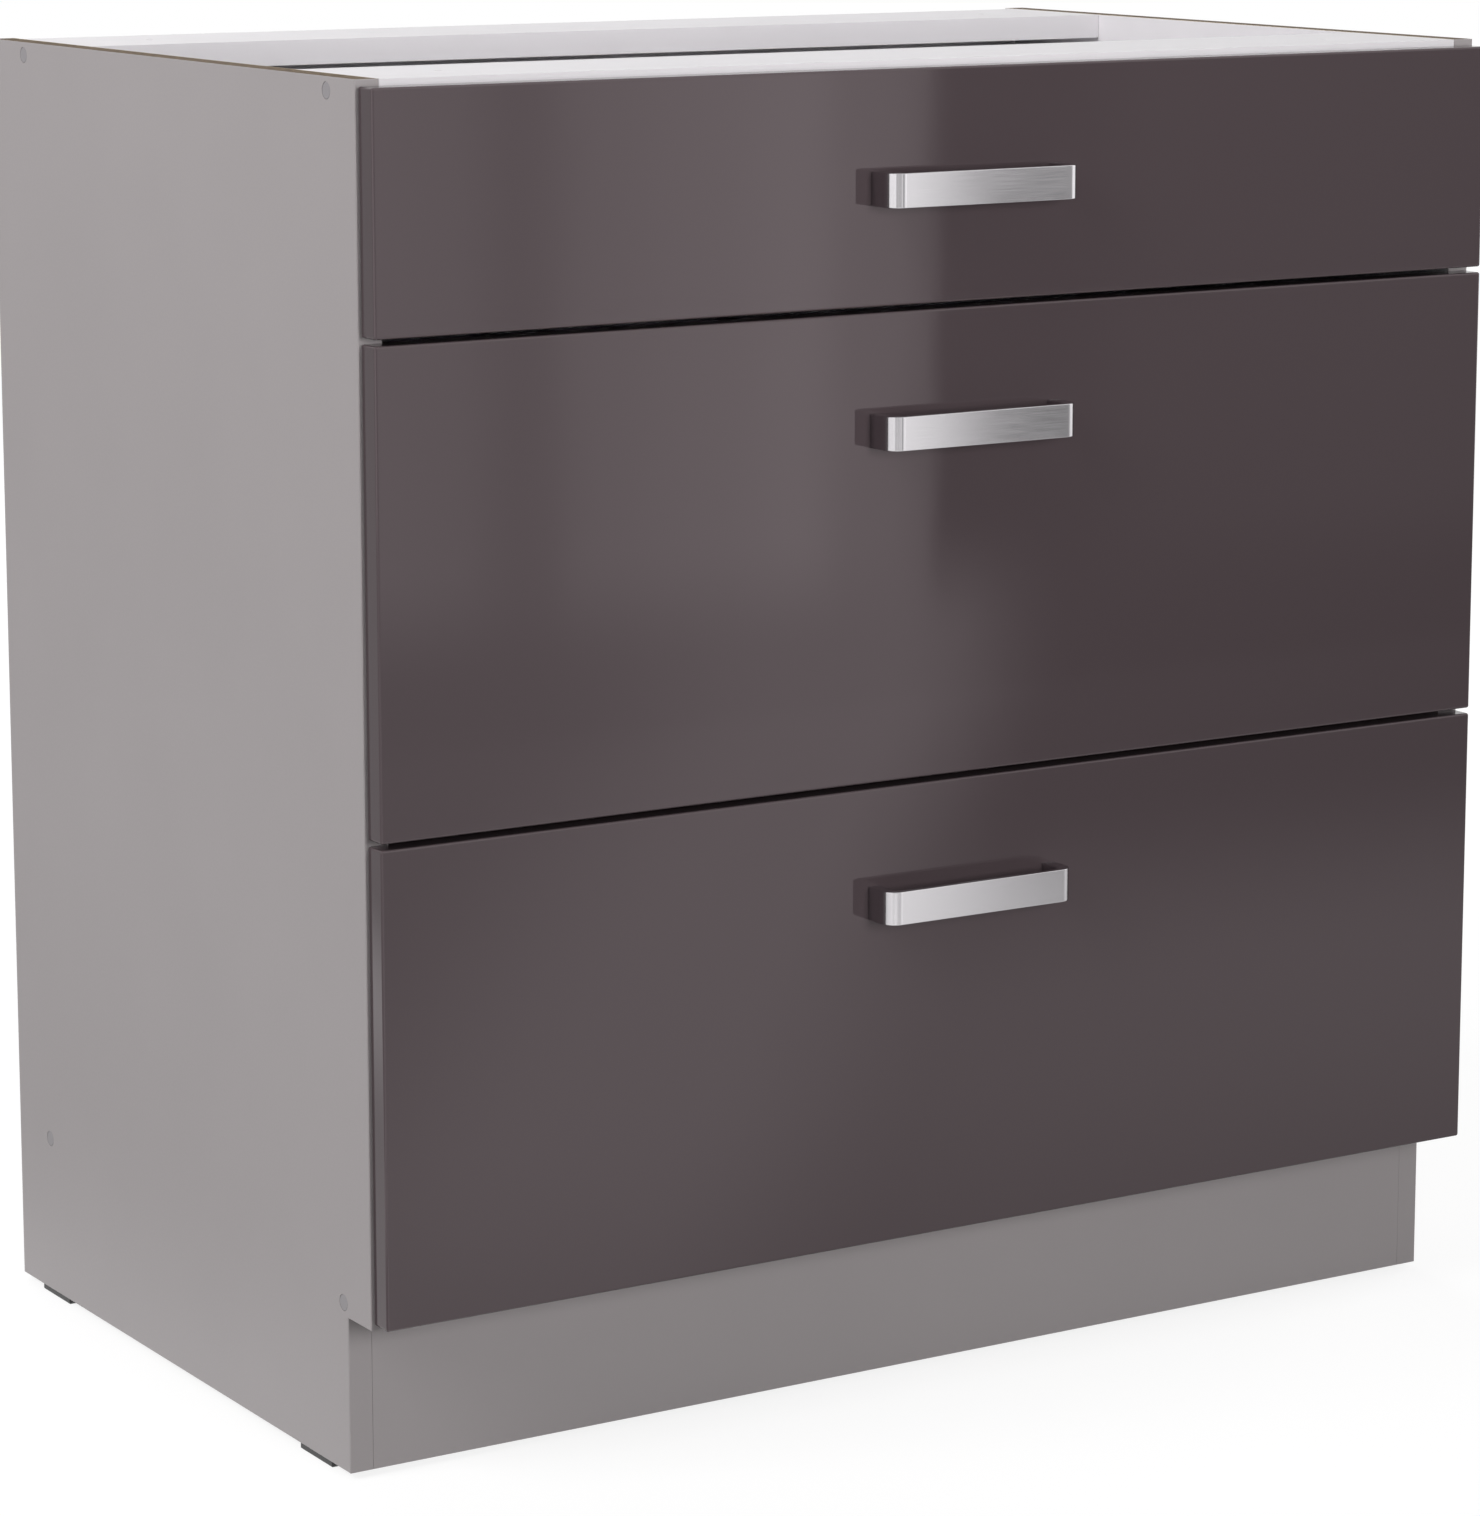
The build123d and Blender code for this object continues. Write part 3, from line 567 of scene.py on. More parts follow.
def turned(add, outside, inside=()):
    """A round part about Z, from walls of radius and height pairs; the inside wall faces the axis."""
    rings = []
    for wall, faces_axis in ((outside, False), (inside, True)):
        for (low_radius, low), (high_radius, high) in zip(wall, wall[1:]):
            ring = add("GeometryNodeMeshCone", {
                "Vertices": ROUND_STEPS,
                "Radius Bottom": low_radius,
                "Radius Top": high_radius,
                "Depth": add("ShaderNodeMath", (high, low), operation="SUBTRACT"),
            }, fill_type="NONE")
            if faces_axis:
                ring = add("GeometryNodeFlipFaces", [ring])
            rings.append(add("GeometryNodeTransform", (ring, add("ShaderNodeCombineXYZ", {"Z": low}))))
    joined = add("GeometryNodeJoinGeometry", [rings])
    return add("GeometryNodeMergeByDistance", {"Geometry": joined, "Distance": RING_WELD})


def turned_tree(name, sizes, outline):
    """A tree that sets a turned shape on each point; outline gives its outer and inner walls."""
    tree, add, given = new_tree(name, sizes)
    walls = outline(add, *(given[size] for size in sizes))
    put_on_points(add, given, turned(add, *walls), seed=0)
    return tree


def cap_walls(add, radius, top, chamfer):
    """A flat disc with a chamfered rim."""
    rim = add("ShaderNodeMath", (radius, chamfer), operation="SUBTRACT")
    edge = add("ShaderNodeMath", (top, chamfer), operation="SUBTRACT")
    return [(0.0, 0.0), (radius, 0.0), (radius, edge), (rim, top), (0.0, top)], ()


def roller_walls(add, radius, width, chamfer, bore, recess, depth):
    """A roller: a chamfered tread, a pin bore, and a recess on its upper face."""
    rim = add("ShaderNodeMath", (radius, chamfer), operation="SUBTRACT")
    shoulder = add("ShaderNodeMath", (width, chamfer), operation="SUBTRACT")
    floor = add("ShaderNodeMath", (width, depth), operation="SUBTRACT")
    tread = [(rim, 0.0), (radius, chamfer), (radius, shoulder), (rim, width)]
    inside = [(bore, 0.0), (bore, floor), (recess, floor), (recess, width)]
    return [(bore, 0.0), *tread, (recess, width)], inside


def rivet_walls(add, radius, height):
    """A low domed rivet head."""
    outside = [(0.0, 0.0), (radius, 0.0)]
    for share_out, share_up in RIVET_OUTLINE:
        outside.append((
            add("ShaderNodeMath", (radius, share_out), operation="MULTIPLY"),
            add("ShaderNodeMath", (height, share_up), operation="MULTIPLY"),
        ))
    return outside, ()


def tube_walls(add, radius, wall, end):
    """A tube, open at both ends."""
    bore = add("ShaderNodeMath", (radius, wall), operation="SUBTRACT")
    return [(bore, 0.0), (radius, 0.0), (radius, end), (bore, end)], [(bore, 0.0), (bore, end)]


def cup_walls(add, radius, mouth, floor, bore, chamfer):
    """A rail cup: a floor, and a mouth with a chamfered rim."""
    rim = add("ShaderNodeMath", (radius, chamfer), operation="SUBTRACT")
    edge = add("ShaderNodeMath", (mouth, chamfer), operation="SUBTRACT")
    outside = [(0.0, 0.0), (radius, 0.0), (radius, edge), (rim, mouth), (bore, mouth)]
    return outside, [(0.0, floor), (bore, floor), (bore, mouth)]


def grow(name, tree, places, inputs):
    """Runs a tree on points with aims and turns the result into a plain piece."""
    points = bpy.data.meshes.new(name + "_points")
    points.from_pydata([start for start, aim in places], [], [])
    aims = points.attributes.new("aim", "FLOAT_VECTOR", "POINT")
    for item, (start, aim) in zip(aims.data, places):
        item.vector = aim
    obj = add_object(name, points)
    modifier = obj.modifiers.new(tree.name, "NODES")
    modifier.node_group = tree
    for item in tree.interface.items_tree:
        if item.in_out == "INPUT" and item.name in inputs:
            modifier[item.identifier] = inputs[item.name]
    grown = obj.evaluated_get(bpy.context.evaluated_depsgraph_get())
    mesh = bpy.data.meshes.new_from_object(grown)
    obj.modifiers.clear()
    obj.data = mesh
    mesh.name = name
    mesh.shade_smooth()
    mesh.set_sharp_from_angle(angle=SMOOTH_ANGLE)
    bpy.data.meshes.remove(points)
    return obj


# ---- pieces ----
class PieceOperator(bpy.types.Operator):
    """Common base of the cabinet's pieces."""

    bl_options = {"REGISTER", "UNDO"}

    def execute(self, context):
        self.make(context.scene.cabinet_sizes)
        return {"FINISHED"}


class PlainOperator(PieceOperator):
    """Common base of the pieces that have one finish all over and, if named, a rounded edge."""

    edge = None

    def make(self, sizes):
        for node in self.nodes:
            dress(node, [self.finish], edge=getattr(sizes, self.edge) if self.edge else 0.0)


class CABINET_OT_side_panels(PieceOperator):
    """Side panels: grey outside, white inside, sawn chipboard on the edges"""

    bl_idname = "cabinet.side_panels"
    bl_label = "Side Panels"

    def make(self, sizes):
        for side, outward in zip(SIDES, (-1, 1)):

            def choose(face):
                across = face.normal.x * outward
                return 0 if across > ALONG else 1 if across < -ALONG else 2

            names = ("grey_melamine", "white_melamine", "raw_chipboard")
            dress("side_panel_" + side, names, choose, sizes.board_edge)


class CABINET_OT_white_boards(PlainOperator):
    """White boards: bottom panel, top rails, drawer bases and drawer backs"""

    bl_idname = "cabinet.white_boards"
    bl_label = "White Boards"
    finish = "white_melamine"
    edge = "board_edge"
    nodes = ["bottom_panel", "front_rail", "rear_rail"]
    nodes += [drawer + part for drawer in DRAWERS for part in ("_base", "_back")]


class CABINET_OT_back_panel(PieceOperator):
    """Back panel: white towards the drawers, bare fibreboard behind"""

    bl_idname = "cabinet.back_panel"
    bl_label = "Back Panel"

    def make(self, sizes):
        names = ("white_melamine", "bare_fibreboard")
        dress("back_panel", names, lambda face: int(face.normal.y > -ALONG))


class CABINET_OT_plinth(PlainOperator):
    """Plinth board with the same grey melamine as the side panels"""

    bl_idname = "cabinet.plinth"
    bl_label = "Plinth"
    finish = "grey_melamine"
    edge = "board_edge"
    nodes = ["plinth_board"]


class CABINET_OT_edge_bands(PieceOperator):
    """Edge bands: grey on the side panels, white on the boards between them"""

    bl_idname = "cabinet.edge_bands"
    bl_label = "Edge Bands"

    def make(self, sizes):
        def on_panels(point):
            return abs(point.x) > INNER_HALF

        def between_panels(point):
            return abs(point.x) < INNER_HALF

        for name, look, belongs in (
            ("panel_edge_bands", "grey_melamine", on_panels),
            ("board_edge_bands", "white_melamine", between_panels),
        ):
            dress("edge_bands", [look], edge=sizes.band_edge, belongs=belongs, name=name)


class CABINET_OT_floor_glides(PlainOperator):
    """Black floor glides under the side panels"""

    bl_idname = "cabinet.floor_glides"
    bl_label = "Floor Glides"
    finish = "black_polyethylene"
    edge = "band_edge"
    nodes = ["floor_glides"]


class CABINET_OT_fronts(PieceOperator):
    """Drawer fronts: slabs with rounded faces, in gloss foil, white behind"""

    bl_idname = "cabinet.fronts"
    bl_label = "Drawer Fronts"

    def make(self, sizes):
        for drawer in DRAWERS:
            low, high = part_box(drawer + "_front")
            shape = bmesh.new()
            bmesh.ops.create_cube(shape, size=1.0)
            for vertex in shape.verts:
                vertex.co = [low[i] if vertex.co[i] < 0 else high[i] for i in range(3)]
            edges = [e for e in shape.edges if min(v.co.y for v in e.verts) < low.y + WELD]
            round_edges(shape, geom=edges, offset=sizes.front_edge, segments=FRONT_STEPS)
            self.patch_back(shape, sizes.front_edge)
            obj = new_piece(drawer + "_front_slab", shape)
            paint(obj, ("gloss_foil", "white_melamine"), lambda face: int(face.normal.y > SQUARELY))
            stand_for(obj, drawer + "_front")

    def patch_back(self, shape, radius):
        """Parts the round-cornered back face so that no long sliver crosses it."""
        back = [face for face in shape.faces if face.normal.y > SQUARELY]
        bmesh.ops.inset_individual(shape, faces=back, thickness=radius, use_even_offset=True)
        bmesh.ops.remove_doubles(shape, verts=shape.verts, dist=SLIVER)


def arc(centre_x, centre_y, radius, start, steps):
    """Points of a quarter circle, anticlockwise from a start angle in degrees."""
    angles = [math.radians(start + 90 * i / steps) for i in range(steps + 1)]
    return [(centre_x + radius * math.cos(a), centre_y + radius * math.sin(a)) for a in angles]


class CABINET_OT_handles(PieceOperator):
    """Bow handles: a flat bar with rounded corners on two square arms, chrome plated"""

    bl_idname = "cabinet.handles"
    bl_label = "Bow Handles"

    def make(self, sizes):
        for drawer in DRAWERS:
            low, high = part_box(drawer + "_handle")
            shape = bmesh.new()
            outline = self.outline(sizes, high.x, low.y, high.y)
            lower = [shape.verts.new((x, y, low.z)) for x, y in outline]
            face = shape.faces.new(lower)
            raised = bmesh.ops.extrude_face_region(shape, geom=[face])
            top = [item for item in raised["geom"] if isinstance(item, bmesh.types.BMVert)]
            bmesh.ops.translate(shape, verts=top, vec=(0, 0, high.z - low.z))
            bmesh.ops.recalc_face_normals(shape, faces=shape.faces)
            soften(shape, sizes.handle_edge, segments=HANDLE_EDGE_STEPS, least=0.0)
            obj = new_piece(drawer + "_handle_bow", shape)
            paint(obj, ["brushed_chrome"])
            stand_for(obj, drawer + "_handle")

    def outline(self, sizes, half, bar_y, foot_y):
        """The bow seen from above, round its outside and back along its inside."""
        outer, inner = sizes.handle_outer, sizes.handle_inner
        inside = half - sizes.handle_arm
        bar_back_y = bar_y + sizes.handle_bar
        left_outer = arc(-half + outer, bar_y + outer, outer, 180, sizes.handle_steps)
        right_outer = arc(half - outer, bar_y + outer, outer, 270, sizes.handle_steps)
        left_inner = arc(-inside + inner, bar_back_y + inner, inner, 180, sizes.handle_steps // 2)
        right_inner = arc(inside - inner, bar_back_y + inner, inner, 270, sizes.handle_steps // 2)
        outside = [(-half, foot_y)] + left_outer + right_outer + [(half, foot_y)]
        return outside + [(inside, foot_y)] + (left_inner + right_inner)[::-1] + [(-inside, foot_y)]


class CABINET_OT_steelwork(PlainOperator):
    """Runners and steel drawer sides, powder coated"""

    bl_idname = "cabinet.steelwork"
    bl_label = "Steelwork"
    finish = "powder_coated_steel"
    nodes = [
        f"{drawer}_{part}_{side}" for drawer in DRAWERS for side in SIDES for part in ("runner", "side")
    ]


class CABINET_OT_gallery_rails(PieceOperator):
    """Gallery rails of the deep drawers: coated tubes in plastic cups"""

    bl_idname = "cabinet.gallery_rails"
    bl_label = "Gallery Rails"

    def make(self, sizes):
        tubes = turned_tree("gallery_tubes", ("Radius", "Wall", "Length"), tube_walls)
        cup_sizes = ("Radius", "Depth", "Floor", "Bore Radius", "Chamfer")
        cups = turned_tree("rail_cups", cup_sizes, cup_walls)
        for drawer in DRAWERS[1:]:
            node = drawer + "_gallery_rails"
            low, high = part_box(node)
            tube_places, cup_places = [], []
            for points in islands(node):
                start, end = corners(points)
                middle = (start + end) / 2
                is_tube = end.y - start.y > (high.y - low.y) / 2
                way = 1 if is_tube or middle.y < (low.y + high.y) / 2 else -1
                if is_tube:
                    tube_radius, tube_length = (end.z - start.z) / 2, end.y - start.y
                else:
                    cup_radius, cup_depth = (end.z - start.z) / 2, end.y - start.y
                middle.y = start.y if way > 0 else end.y
                places = tube_places if is_tube else cup_places
                places.append((middle, Vector((0, way, 0))))
            stand_for(grow(node + "_tubes", tubes, tube_places, {
                "Radius": tube_radius,
                "Wall": sizes.rail_wall,
                "Length": tube_length,
                "Finish": finish("powder_coated_steel"),
            }), node)
            stand_for(grow(node + "_cups", cups, cup_places, {
                "Radius": cup_radius,
                "Depth": cup_depth,
                "Floor": sizes.cup_floor,
                "Bore Radius": tube_radius,
                "Chamfer": sizes.cup_chamfer,
                "Finish": finish("grey_polypropylene"),
            }), node)


class CABINET_OT_rollers(PieceOperator):
    """Nylon rollers, and the riveted heads of their pins"""

    bl_idname = "cabinet.rollers"
    bl_label = "Rollers"
    roller_sizes = ("Radius", "Width", "Chamfer", "Bore Radius", "Recess Radius", "Recess Depth")

    def make(self, sizes):
        rollers = turned_tree("nylon_rollers", self.roller_sizes, roller_walls)
        rivets = turned_tree("rivet_heads", ("Radius", "Height"), rivet_walls)
        for drawer in DRAWERS:
            for side, outward in zip(SIDES, (-1, 1)):
                pairs = (
                    (f"{drawer}_runner_roller_{side}", f"{drawer}_runner_{side}", -outward),
                    (f"{drawer}_roller_{side}", f"{drawer}_side_{side}", outward),
                )
                for node, carrier, way in pairs:
                    self.roller(rollers, rivets, node, carrier, way, sizes)

    def roller(self, rollers, rivets, node, carrier, way, sizes):
        """One roller, and the rivet head that its carrier's pin has in the roller's recess."""
        low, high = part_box(node)
        foot = (low + high) / 2
        foot.x = low.x if way > 0 else high.x
        aim = Vector((way, 0, 0))
        width = high.x - low.x
        stand_for(grow(node + "_turned", rollers, [(foot, aim)], {
            "Radius": max(high.y - low.y, high.z - low.z) / 2,
            "Width": width,
            "Chamfer": sizes.roller_chamfer,
            "Bore Radius": sizes.roller_bore,
            "Recess Radius": sizes.roller_recess,
            "Recess Depth": sizes.recess_floor,
            "Finish": finish("nylon"),
        }), node)
        head = foot + aim * (width - sizes.rivet_height)
        stand_for(grow(node + "_rivet_head", rivets, [(head, aim)], {
            "Radius": sizes.rivet_radius,
            "Height": sizes.rivet_height,
            "Finish": finish("zinc_plated_steel"),
        }), carrier)


class CABINET_OT_brackets(PlainOperator):
    """Zinc-plated brackets behind the fronts and the plinth"""

    bl_idname = "cabinet.brackets"
    bl_label = "Brackets"
    finish = "zinc_plated_steel"
    nodes = ["plinth_brackets"] + [drawer + "_front_brackets" for drawer in DRAWERS]


class CABINET_OT_screws(PieceOperator):
    """Cross-recess screws in place of the plain ones"""

    bl_idname = "cabinet.screws"
    bl_label = "Screws"
    measured = ("Seat Radius", "Rim Radius", "Head Height", "Shank Radius", "Shank Length")

    def make(self, sizes):
        tree = screw_tree()
        nodes = ["carcass_screws", "runner_screws"]
        for drawer in DRAWERS:
            nodes += [drawer + "_box_screws", drawer + "_handle_screws"]
        for node in nodes:
            kinds = {}
            for points in islands(node):
                start, aim, measures = self.measure(points)
                kinds.setdefault(tuple(round(m / MM, 1) for m in measures), []).append((start, aim))
            for number, (measures, places) in enumerate(sorted(kinds.items())):
                obj = grow(f"{node}_{number}", tree, places, {
                    **{name: measure * MM for name, measure in zip(self.measured, measures)},
                    "Recess Length": sizes.recess_length,
                    "Recess Width": sizes.recess_width,
                    "Recess Depth": sizes.recess_depth,
                    "Finish": finish("zinc_plated_steel"),
                })
                stand_for(obj, node)

    def measure(self, points):
        """A screw's seat, the way its head points, and its radii and lengths, from its points."""
        low, high = corners(points)
        axis = max(range(3), key=lambda i: high[i] - low[i])
        middle = (low + high) / 2
        levels = {}
        for point in points:
            radius = point - middle
            radius[axis] = 0.0
            level = round(point[axis], 5)
            levels[level] = max(levels.get(level, 0.0), radius.length)
        ordered = sorted(levels)
        if levels[ordered[0]] > levels[ordered[-1]]:
            ordered.reverse()
        tip, seat, top = ordered[0], ordered[-2], ordered[-1]
        aim = Vector((0.0, 0.0, 0.0))
        aim[axis] = math.copysign(1.0, top - tip)
        start = middle.copy()
        start[axis] = seat
        rim_radius = levels[top] * (1.0 if levels[seat] < levels[top] - WELD else HEAD_TOP_SHARE)
        lengths = abs(top - seat), levels[tip], abs(seat - tip)
        return start, aim, (levels[seat], rim_radius, *lengths)


class CABINET_OT_cover_caps(PieceOperator):
    """Plastic caps over the body screws"""

    bl_idname = "cabinet.cover_caps"
    bl_label = "Cover Caps"

    def make(self, sizes):
        places = []
        for points in islands("cover_caps"):
            low, high = corners(points)
            middle = (low + high) / 2
            outward = math.copysign(1.0, middle.x)
            middle.x = low.x if outward > 0 else high.x
            places.append((middle, Vector((outward, 0, 0))))
        tree = turned_tree("cover_caps", ("Radius", "Thickness", "Chamfer"), cap_walls)
        obj = grow("cover_caps_chamfered", tree, places, {
            "Radius": (high.y - low.y) / 2,
            "Thickness": high.x - low.x,
            "Chamfer": sizes.cap_chamfer,
            "Finish": finish("grey_polypropylene"),
        })
        stand_for(obj, "cover_caps")


# ---- stage ----
FLOOR_SIZE = 24.0
AIM_POINT = (0, 0, 0.45)
FULL_BEAM = 180.0
LIGHTS = {
    "key_light": {"place": (-3.4, -0.3, 2.8), "size": 2.2, "power": 121.0},
    "front_light": {
        "place": (0.1, -2.9, 1.05), "size": 1.0, "power": 10.2, "aim": (0, 0, 1.0), "beam": 80.0,
    },
    "right_light": {"place": (3.5, 0.6, 1.2), "size": 1.8, "power": 50.0},
    "back_light": {"place": (0.5, 3.6, 2.3), "size": 2.0, "power": 54.0},
}
AMBIENT = 0.26
GLOSS_AMBIENT = 1.0
SECOND_BOUNCE = 0.2
# Above one glossy bounce and below two.
ONCE = 1.5
SMOOTH = {"interpolation_type": "SMOOTHSTEP"}

# The matt floor's paint, to most rays and to those in gloss, and its glow to rays out of gloss.
FLOOR_PAINT = (0.20, 0.10)
FLOOR_GLOW = 0.04
# Changes of level on the floor and the cards: from and to in metres, then the first and last level.
# The first goes by the squared distance from the middle and is the floor's glow to the camera.
FLOOR_WHITE = (3, 30, 0.84, 0.96)
STREAK = (-1.0, -0.64, 0.62, 1.12)
STREAK_END = (-0.52, -0.28)
STREAK_LEAN = 0.8
BEYOND_STREAK = (-1.7, -1.0, 0.12, 0.68)
# Near the cabinet's front the floor's level in gloss falls: a painted shade of the cabinet in its
# reflection.
PAINTED_CABINET_SHADE = (-0.2, -0.9, 0.65, 1)
# Soft bright stripes on the floor, seen only in gloss: start, middle and end along X in metres.
STRIPES = ((-1.15, -0.95, -0.75), (-0.6, -0.4, -0.2))
STRIPE_LIGHT = 1.8

CARD_Y = -2.2
CARD_HALF = 4.0
CARD_TOP = 4.0
CARD_LIGHT = 2.0
# Brightness of the card from left to right, at its middle height: metres and levels.
CARD_BANDS = (
    (-4.0, 1.4), (-2.1, 1.4), (-1.7, 0.6), (-0.4, 0.55), (0.0, 1.0), (0.25, 0.4), (0.5, 0.4),
    (0.62, 1.22), (0.70, 1.12), (0.79, 0.8), (0.88, 1.28), (1.0, 1.5), (1.13, 1.74), (1.2, 1.3),
    (1.275, 1.2), (1.295, 0.1), (1.45, 0.1), (1.6, 0.2), (2.1, 0.25), (2.9, 0.35), (3.3, 1.4),
    (4.0, 1.4),
)
# The card's upper right has fewer bands, and its foot takes the floor's levels.
CARD_TOP_FALL = (1.285, 1.345, 1.4, 0.95)
CARD_TOP_START = (0.72, 0.85)
CARD_TOP_LEFT = (0.5, 0.62)
CARD_FOOT = (0.20, 0.06)
# The side cards' change along Y, to a dimmer part behind the cabinet's middle, and where each ends.
SIDE_CARDS = (0.35, 0.45, 1.4, 0.45)
LEFT_CARD_END = 8.0
RIGHT_CARD_END = 0.4


def light(name, place, size, power, aim=AIM_POINT, beam=FULL_BEAM):
    """A square soft light that doesn't show in gloss; beam is its spread in degrees."""
    lamp = bpy.data.lights.new(name, "AREA")
    lamp.size = size
    lamp.energy = power
    lamp.spread = math.radians(beam)
    obj = add_object(name, lamp)
    obj.location = place
    obj.rotation_euler = (Vector(aim) - obj.location).to_track_quat("-Z", "Y").to_euler()
    obj.visible_glossy = False
    obj.visible_camera = False


def stage_plane(name, corner_points, material):
    """A flat stage piece from its four corners."""
    mesh = bpy.data.meshes.new(name)
    mesh.from_pydata(corner_points, [], [(0, 1, 2, 3)])
    mesh.materials.append(material)
    obj = add_object(name, mesh)
    return obj


def floor_level(add, axes):
    """The floor's brightness in gloss: a bright streak, dark to its right, and stripes at its left."""
    lean = add("ShaderNodeMath", (axes["Y"], STREAK_LEAN), operation="MULTIPLY")
    slant = add("ShaderNodeMath", (axes["X"], lean), operation="ADD")
    streak = add("ShaderNodeMapRange", (slant, *STREAK), **SMOOTH)
    beyond = add("ShaderNodeMapRange", (axes["Y"], *BEYOND_STREAK), **SMOOTH)
    past = add("ShaderNodeMapRange", (slant, *STREAK_END), **SMOOTH)
    level = add("ShaderNodeMix", (past, streak, beyond))
    for start, middle, end in STRIPES:
        rise = add("ShaderNodeMapRange", (axes["X"], start, middle), **SMOOTH)
        fall = add("ShaderNodeMapRange", (axes["X"], middle, end), **SMOOTH)
        stripe = add("ShaderNodeMath", (rise, fall), operation="SUBTRACT")
        level = add("ShaderNodeMix", (stripe, level, STRIPE_LIGHT))
    # The gloss level is dimmed near the cabinet's front: painted shade of the cabinet.
    near = add("ShaderNodeMapRange", (axes["Y"], *PAINTED_CABINET_SHADE), **SMOOTH)
    return add("ShaderNodeMath", (level, near), operation="MULTIPLY")


def seen_once(add, level):
    """A level that a second bounce between glossy surfaces sees dimmer."""
    bounces = add("ShaderNodeLightPath", output="Glossy Depth")
    again = add("ShaderNodeMath", (bounces, ONCE), operation="GREATER_THAN")
    share = add("ShaderNodeMix", (again, 1.0, SECOND_BOUNCE))
    return add("ShaderNodeMath", (level, share), operation="MULTIPLY")


def white_floor(add, place):
    """Matt white floor that shows white to the camera and keeps a faint shadow."""
    axes = add("ShaderNodeSeparateXYZ", [place]).node.outputs
    rays = add("ShaderNodeLightPath").node.outputs
    paint = add("ShaderNodeMix", (rays["Is Glossy Ray"], *FLOOR_PAINT))
    matt = add("ShaderNodeBsdfDiffuse", [paint])
    in_gloss = seen_once(add, floor_level(add, axes))
    to_other_rays = add("ShaderNodeMix", (rays["Is Glossy Ray"], FLOOR_GLOW, in_gloss))
    squares = [add("ShaderNodeMath", (axes[k], axes[k]), operation="MULTIPLY") for k in "XY"]
    away = add("ShaderNodeMath", squares, operation="ADD")
    to_camera = add("ShaderNodeMapRange", (away, *FLOOR_WHITE), **SMOOTH)
    strength = add("ShaderNodeMix", (rays["Is Camera Ray"], to_other_rays, to_camera))
    glow = add("ShaderNodeEmission", {"Strength": strength})
    return add("ShaderNodeAddShader", (matt, glow))


def front_card(add, place):
    """A studio card with soft upright bands, dark at its lower right, that fades into the floor."""
    axes = add("ShaderNodeSeparateXYZ", [place]).node.outputs
    share = add("ShaderNodeMapRange", (axes["X"], -CARD_HALF, CARD_HALF))
    bands = add("ShaderNodeValToRGB", [share])
    bands.node.color_ramp.interpolation = "EASE"
    stops = bands.node.color_ramp.elements
    for number, (across, brightness) in enumerate(CARD_BANDS):
        stop = stops[number] if number < 2 else stops.new(1.0)
        stop.position = (across + CARD_HALF) / (2 * CARD_HALF)
        stop.color = [brightness / CARD_LIGHT] * 3 + [1.0]
    level = add("ShaderNodeMath", (bands, CARD_LIGHT), operation="MULTIPLY")
    above = add("ShaderNodeMapRange", (axes["X"], *CARD_TOP_FALL), **SMOOTH)
    high = add("ShaderNodeMapRange", (axes["Z"], *CARD_TOP_START), **SMOOTH)
    right = add("ShaderNodeMapRange", (axes["X"], *CARD_TOP_LEFT), **SMOOTH)
    over = add("ShaderNodeMath", (high, right), operation="MULTIPLY")
    level = add("ShaderNodeMix", (over, level, above))
    low = add("ShaderNodeMapRange", (axes["Z"], *CARD_FOOT), **SMOOTH)
    level = add("ShaderNodeMix", (low, level, floor_level(add, axes)))
    return add("ShaderNodeEmission", {"Strength": seen_once(add, level)})


def side_card(add, place):
    """A pale card beside the cabinet, dimmer behind it, that gives the chrome its lines."""
    depth = add("ShaderNodeSeparateXYZ", [place], "Y")
    level = add("ShaderNodeMapRange", (depth, *SIDE_CARDS), **SMOOTH)
    return add("ShaderNodeEmission", {"Strength": seen_once(add, level)})


def only_in_gloss(obj):
    """Hides a stage piece from everything but glossy surfaces."""
    obj.visible_camera = False
    obj.visible_diffuse = False
    obj.visible_shadow = False
    obj.visible_transmission = False


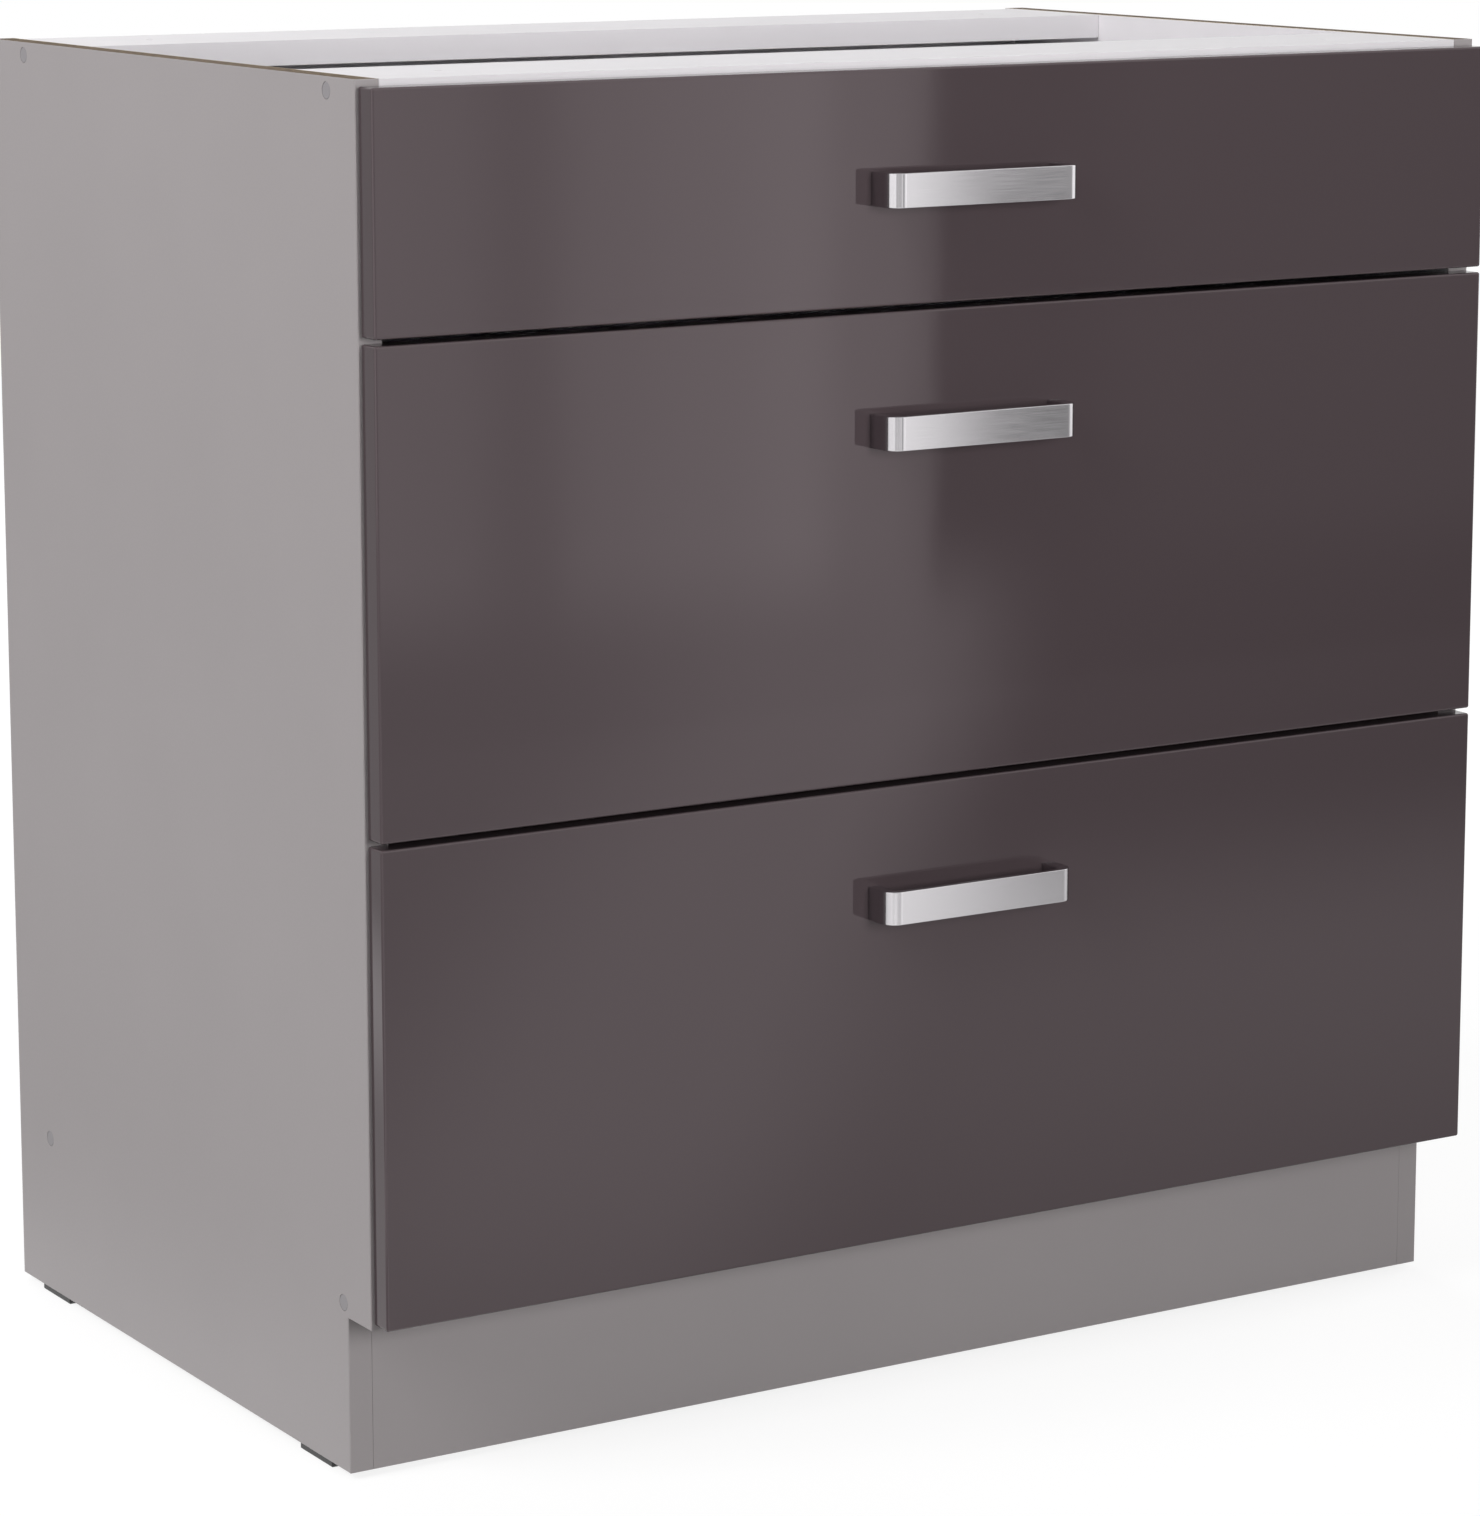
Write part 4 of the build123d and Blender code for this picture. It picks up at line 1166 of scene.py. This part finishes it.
class CABINET_OT_stage(bpy.types.Operator):
    """Floor, lights, world and camera"""

    bl_idname = "cabinet.stage"
    bl_label = "Stage"

    def execute(self, context):
        half = FLOOR_SIZE / 2
        floor_corners = [(-half, -half, 0), (half, -half, 0), (half, half, 0), (-half, half, 0)]
        stage_plane("floor", floor_corners, new_material("white_floor", white_floor))
        left, right, top = -CARD_HALF, CARD_HALF, CARD_TOP
        bands = new_material("reflection_card", front_card)
        pale = new_material("side_card", side_card)
        for name, start, end, material in (
            ("reflection_card", (left, CARD_Y), (right, CARD_Y), bands),
            ("left_card", (left, CARD_Y), (left, LEFT_CARD_END), pale),
            ("right_card", (right, CARD_Y), (right, RIGHT_CARD_END), pale),
        ):
            card_corners = [(*start, 0), (*start, top), (*end, top), (*end, 0)]
            only_in_gloss(stage_plane(name, card_corners, material))
        for name, lamp in LIGHTS.items():
            light(name, **lamp)
        self.make_world(context.scene)
        self.make_camera(context.scene)
        context.scene.view_settings.view_transform = "Standard"
        return {"FINISHED"}

    def make_world(self, scene):
        """White to the camera, brighter in gloss, and a plain ambient level on everything else."""
        world = bpy.data.worlds.new("white_world")
        world.use_nodes = True
        world.node_tree.nodes.clear()
        scene.world = world
        add = partial(add_node, world.node_tree)
        rays = add("ShaderNodeLightPath").node.outputs
        unseen = add("ShaderNodeMix", (rays["Is Glossy Ray"], AMBIENT, GLOSS_AMBIENT))
        direct = (rays["Is Camera Ray"], rays["Is Transmission Ray"])
        seen = add("ShaderNodeMath", direct, operation="MAXIMUM")
        level = add("ShaderNodeMix", (seen, unseen, 1.0))
        add("ShaderNodeOutputWorld", [add("ShaderNodeBackground", ((1, 1, 1, 1), level))])

    def make_camera(self, scene):
        camera = bpy.data.cameras.new("camera")
        camera.lens = CAMERA_LENS
        camera.shift_x, camera.shift_y = CAMERA_SHIFT
        obj = add_object("camera", camera)
        obj.location = CAMERA_PLACE
        obj.rotation_euler = (math.radians(90 - CAMERA_DIP), 0, -math.radians(CAMERA_TURN))
        scene.camera = obj


class CABINET_PT_panel(bpy.types.Panel):
    """Lists the cabinet's pieces in the sidebar"""

    bl_idname = "CABINET_PT_panel"
    bl_label = "Base Cabinet"
    bl_space_type = "VIEW_3D"
    bl_region_type = "UI"
    bl_category = "Cabinet"

    def draw(self, context):
        for operator in OPERATORS:
            self.layout.operator(operator.bl_idname)
        for group in (context.scene.cabinet_sizes, context.scene.cabinet_colours):
            for name in group.__annotations__:
                self.layout.prop(group, name)


OPERATORS = (
    CABINET_OT_side_panels,
    CABINET_OT_white_boards,
    CABINET_OT_back_panel,
    CABINET_OT_plinth,
    CABINET_OT_edge_bands,
    CABINET_OT_floor_glides,
    CABINET_OT_fronts,
    CABINET_OT_handles,
    CABINET_OT_steelwork,
    CABINET_OT_gallery_rails,
    CABINET_OT_rollers,
    CABINET_OT_brackets,
    CABINET_OT_screws,
    CABINET_OT_cover_caps,
    CABINET_OT_stage,
)
CLASSES = (CabinetSizes, CabinetColours, *OPERATORS, CABINET_PT_panel)


def register():
    for cls in CLASSES:
        bpy.utils.register_class(cls)
    bpy.types.Scene.cabinet_sizes = PointerProperty(type=CabinetSizes)
    bpy.types.Scene.cabinet_colours = PointerProperty(type=CabinetColours)


def unregister():
    del bpy.types.Scene.cabinet_colours
    del bpy.types.Scene.cabinet_sizes
    for cls in reversed(CLASSES):
        bpy.utils.unregister_class(cls)


def main():
    register()
    for operator in OPERATORS:
        group, name = operator.bl_idname.split(".")
        getattr(getattr(bpy.ops, group), name)()


if __name__ == "__main__":
    main()
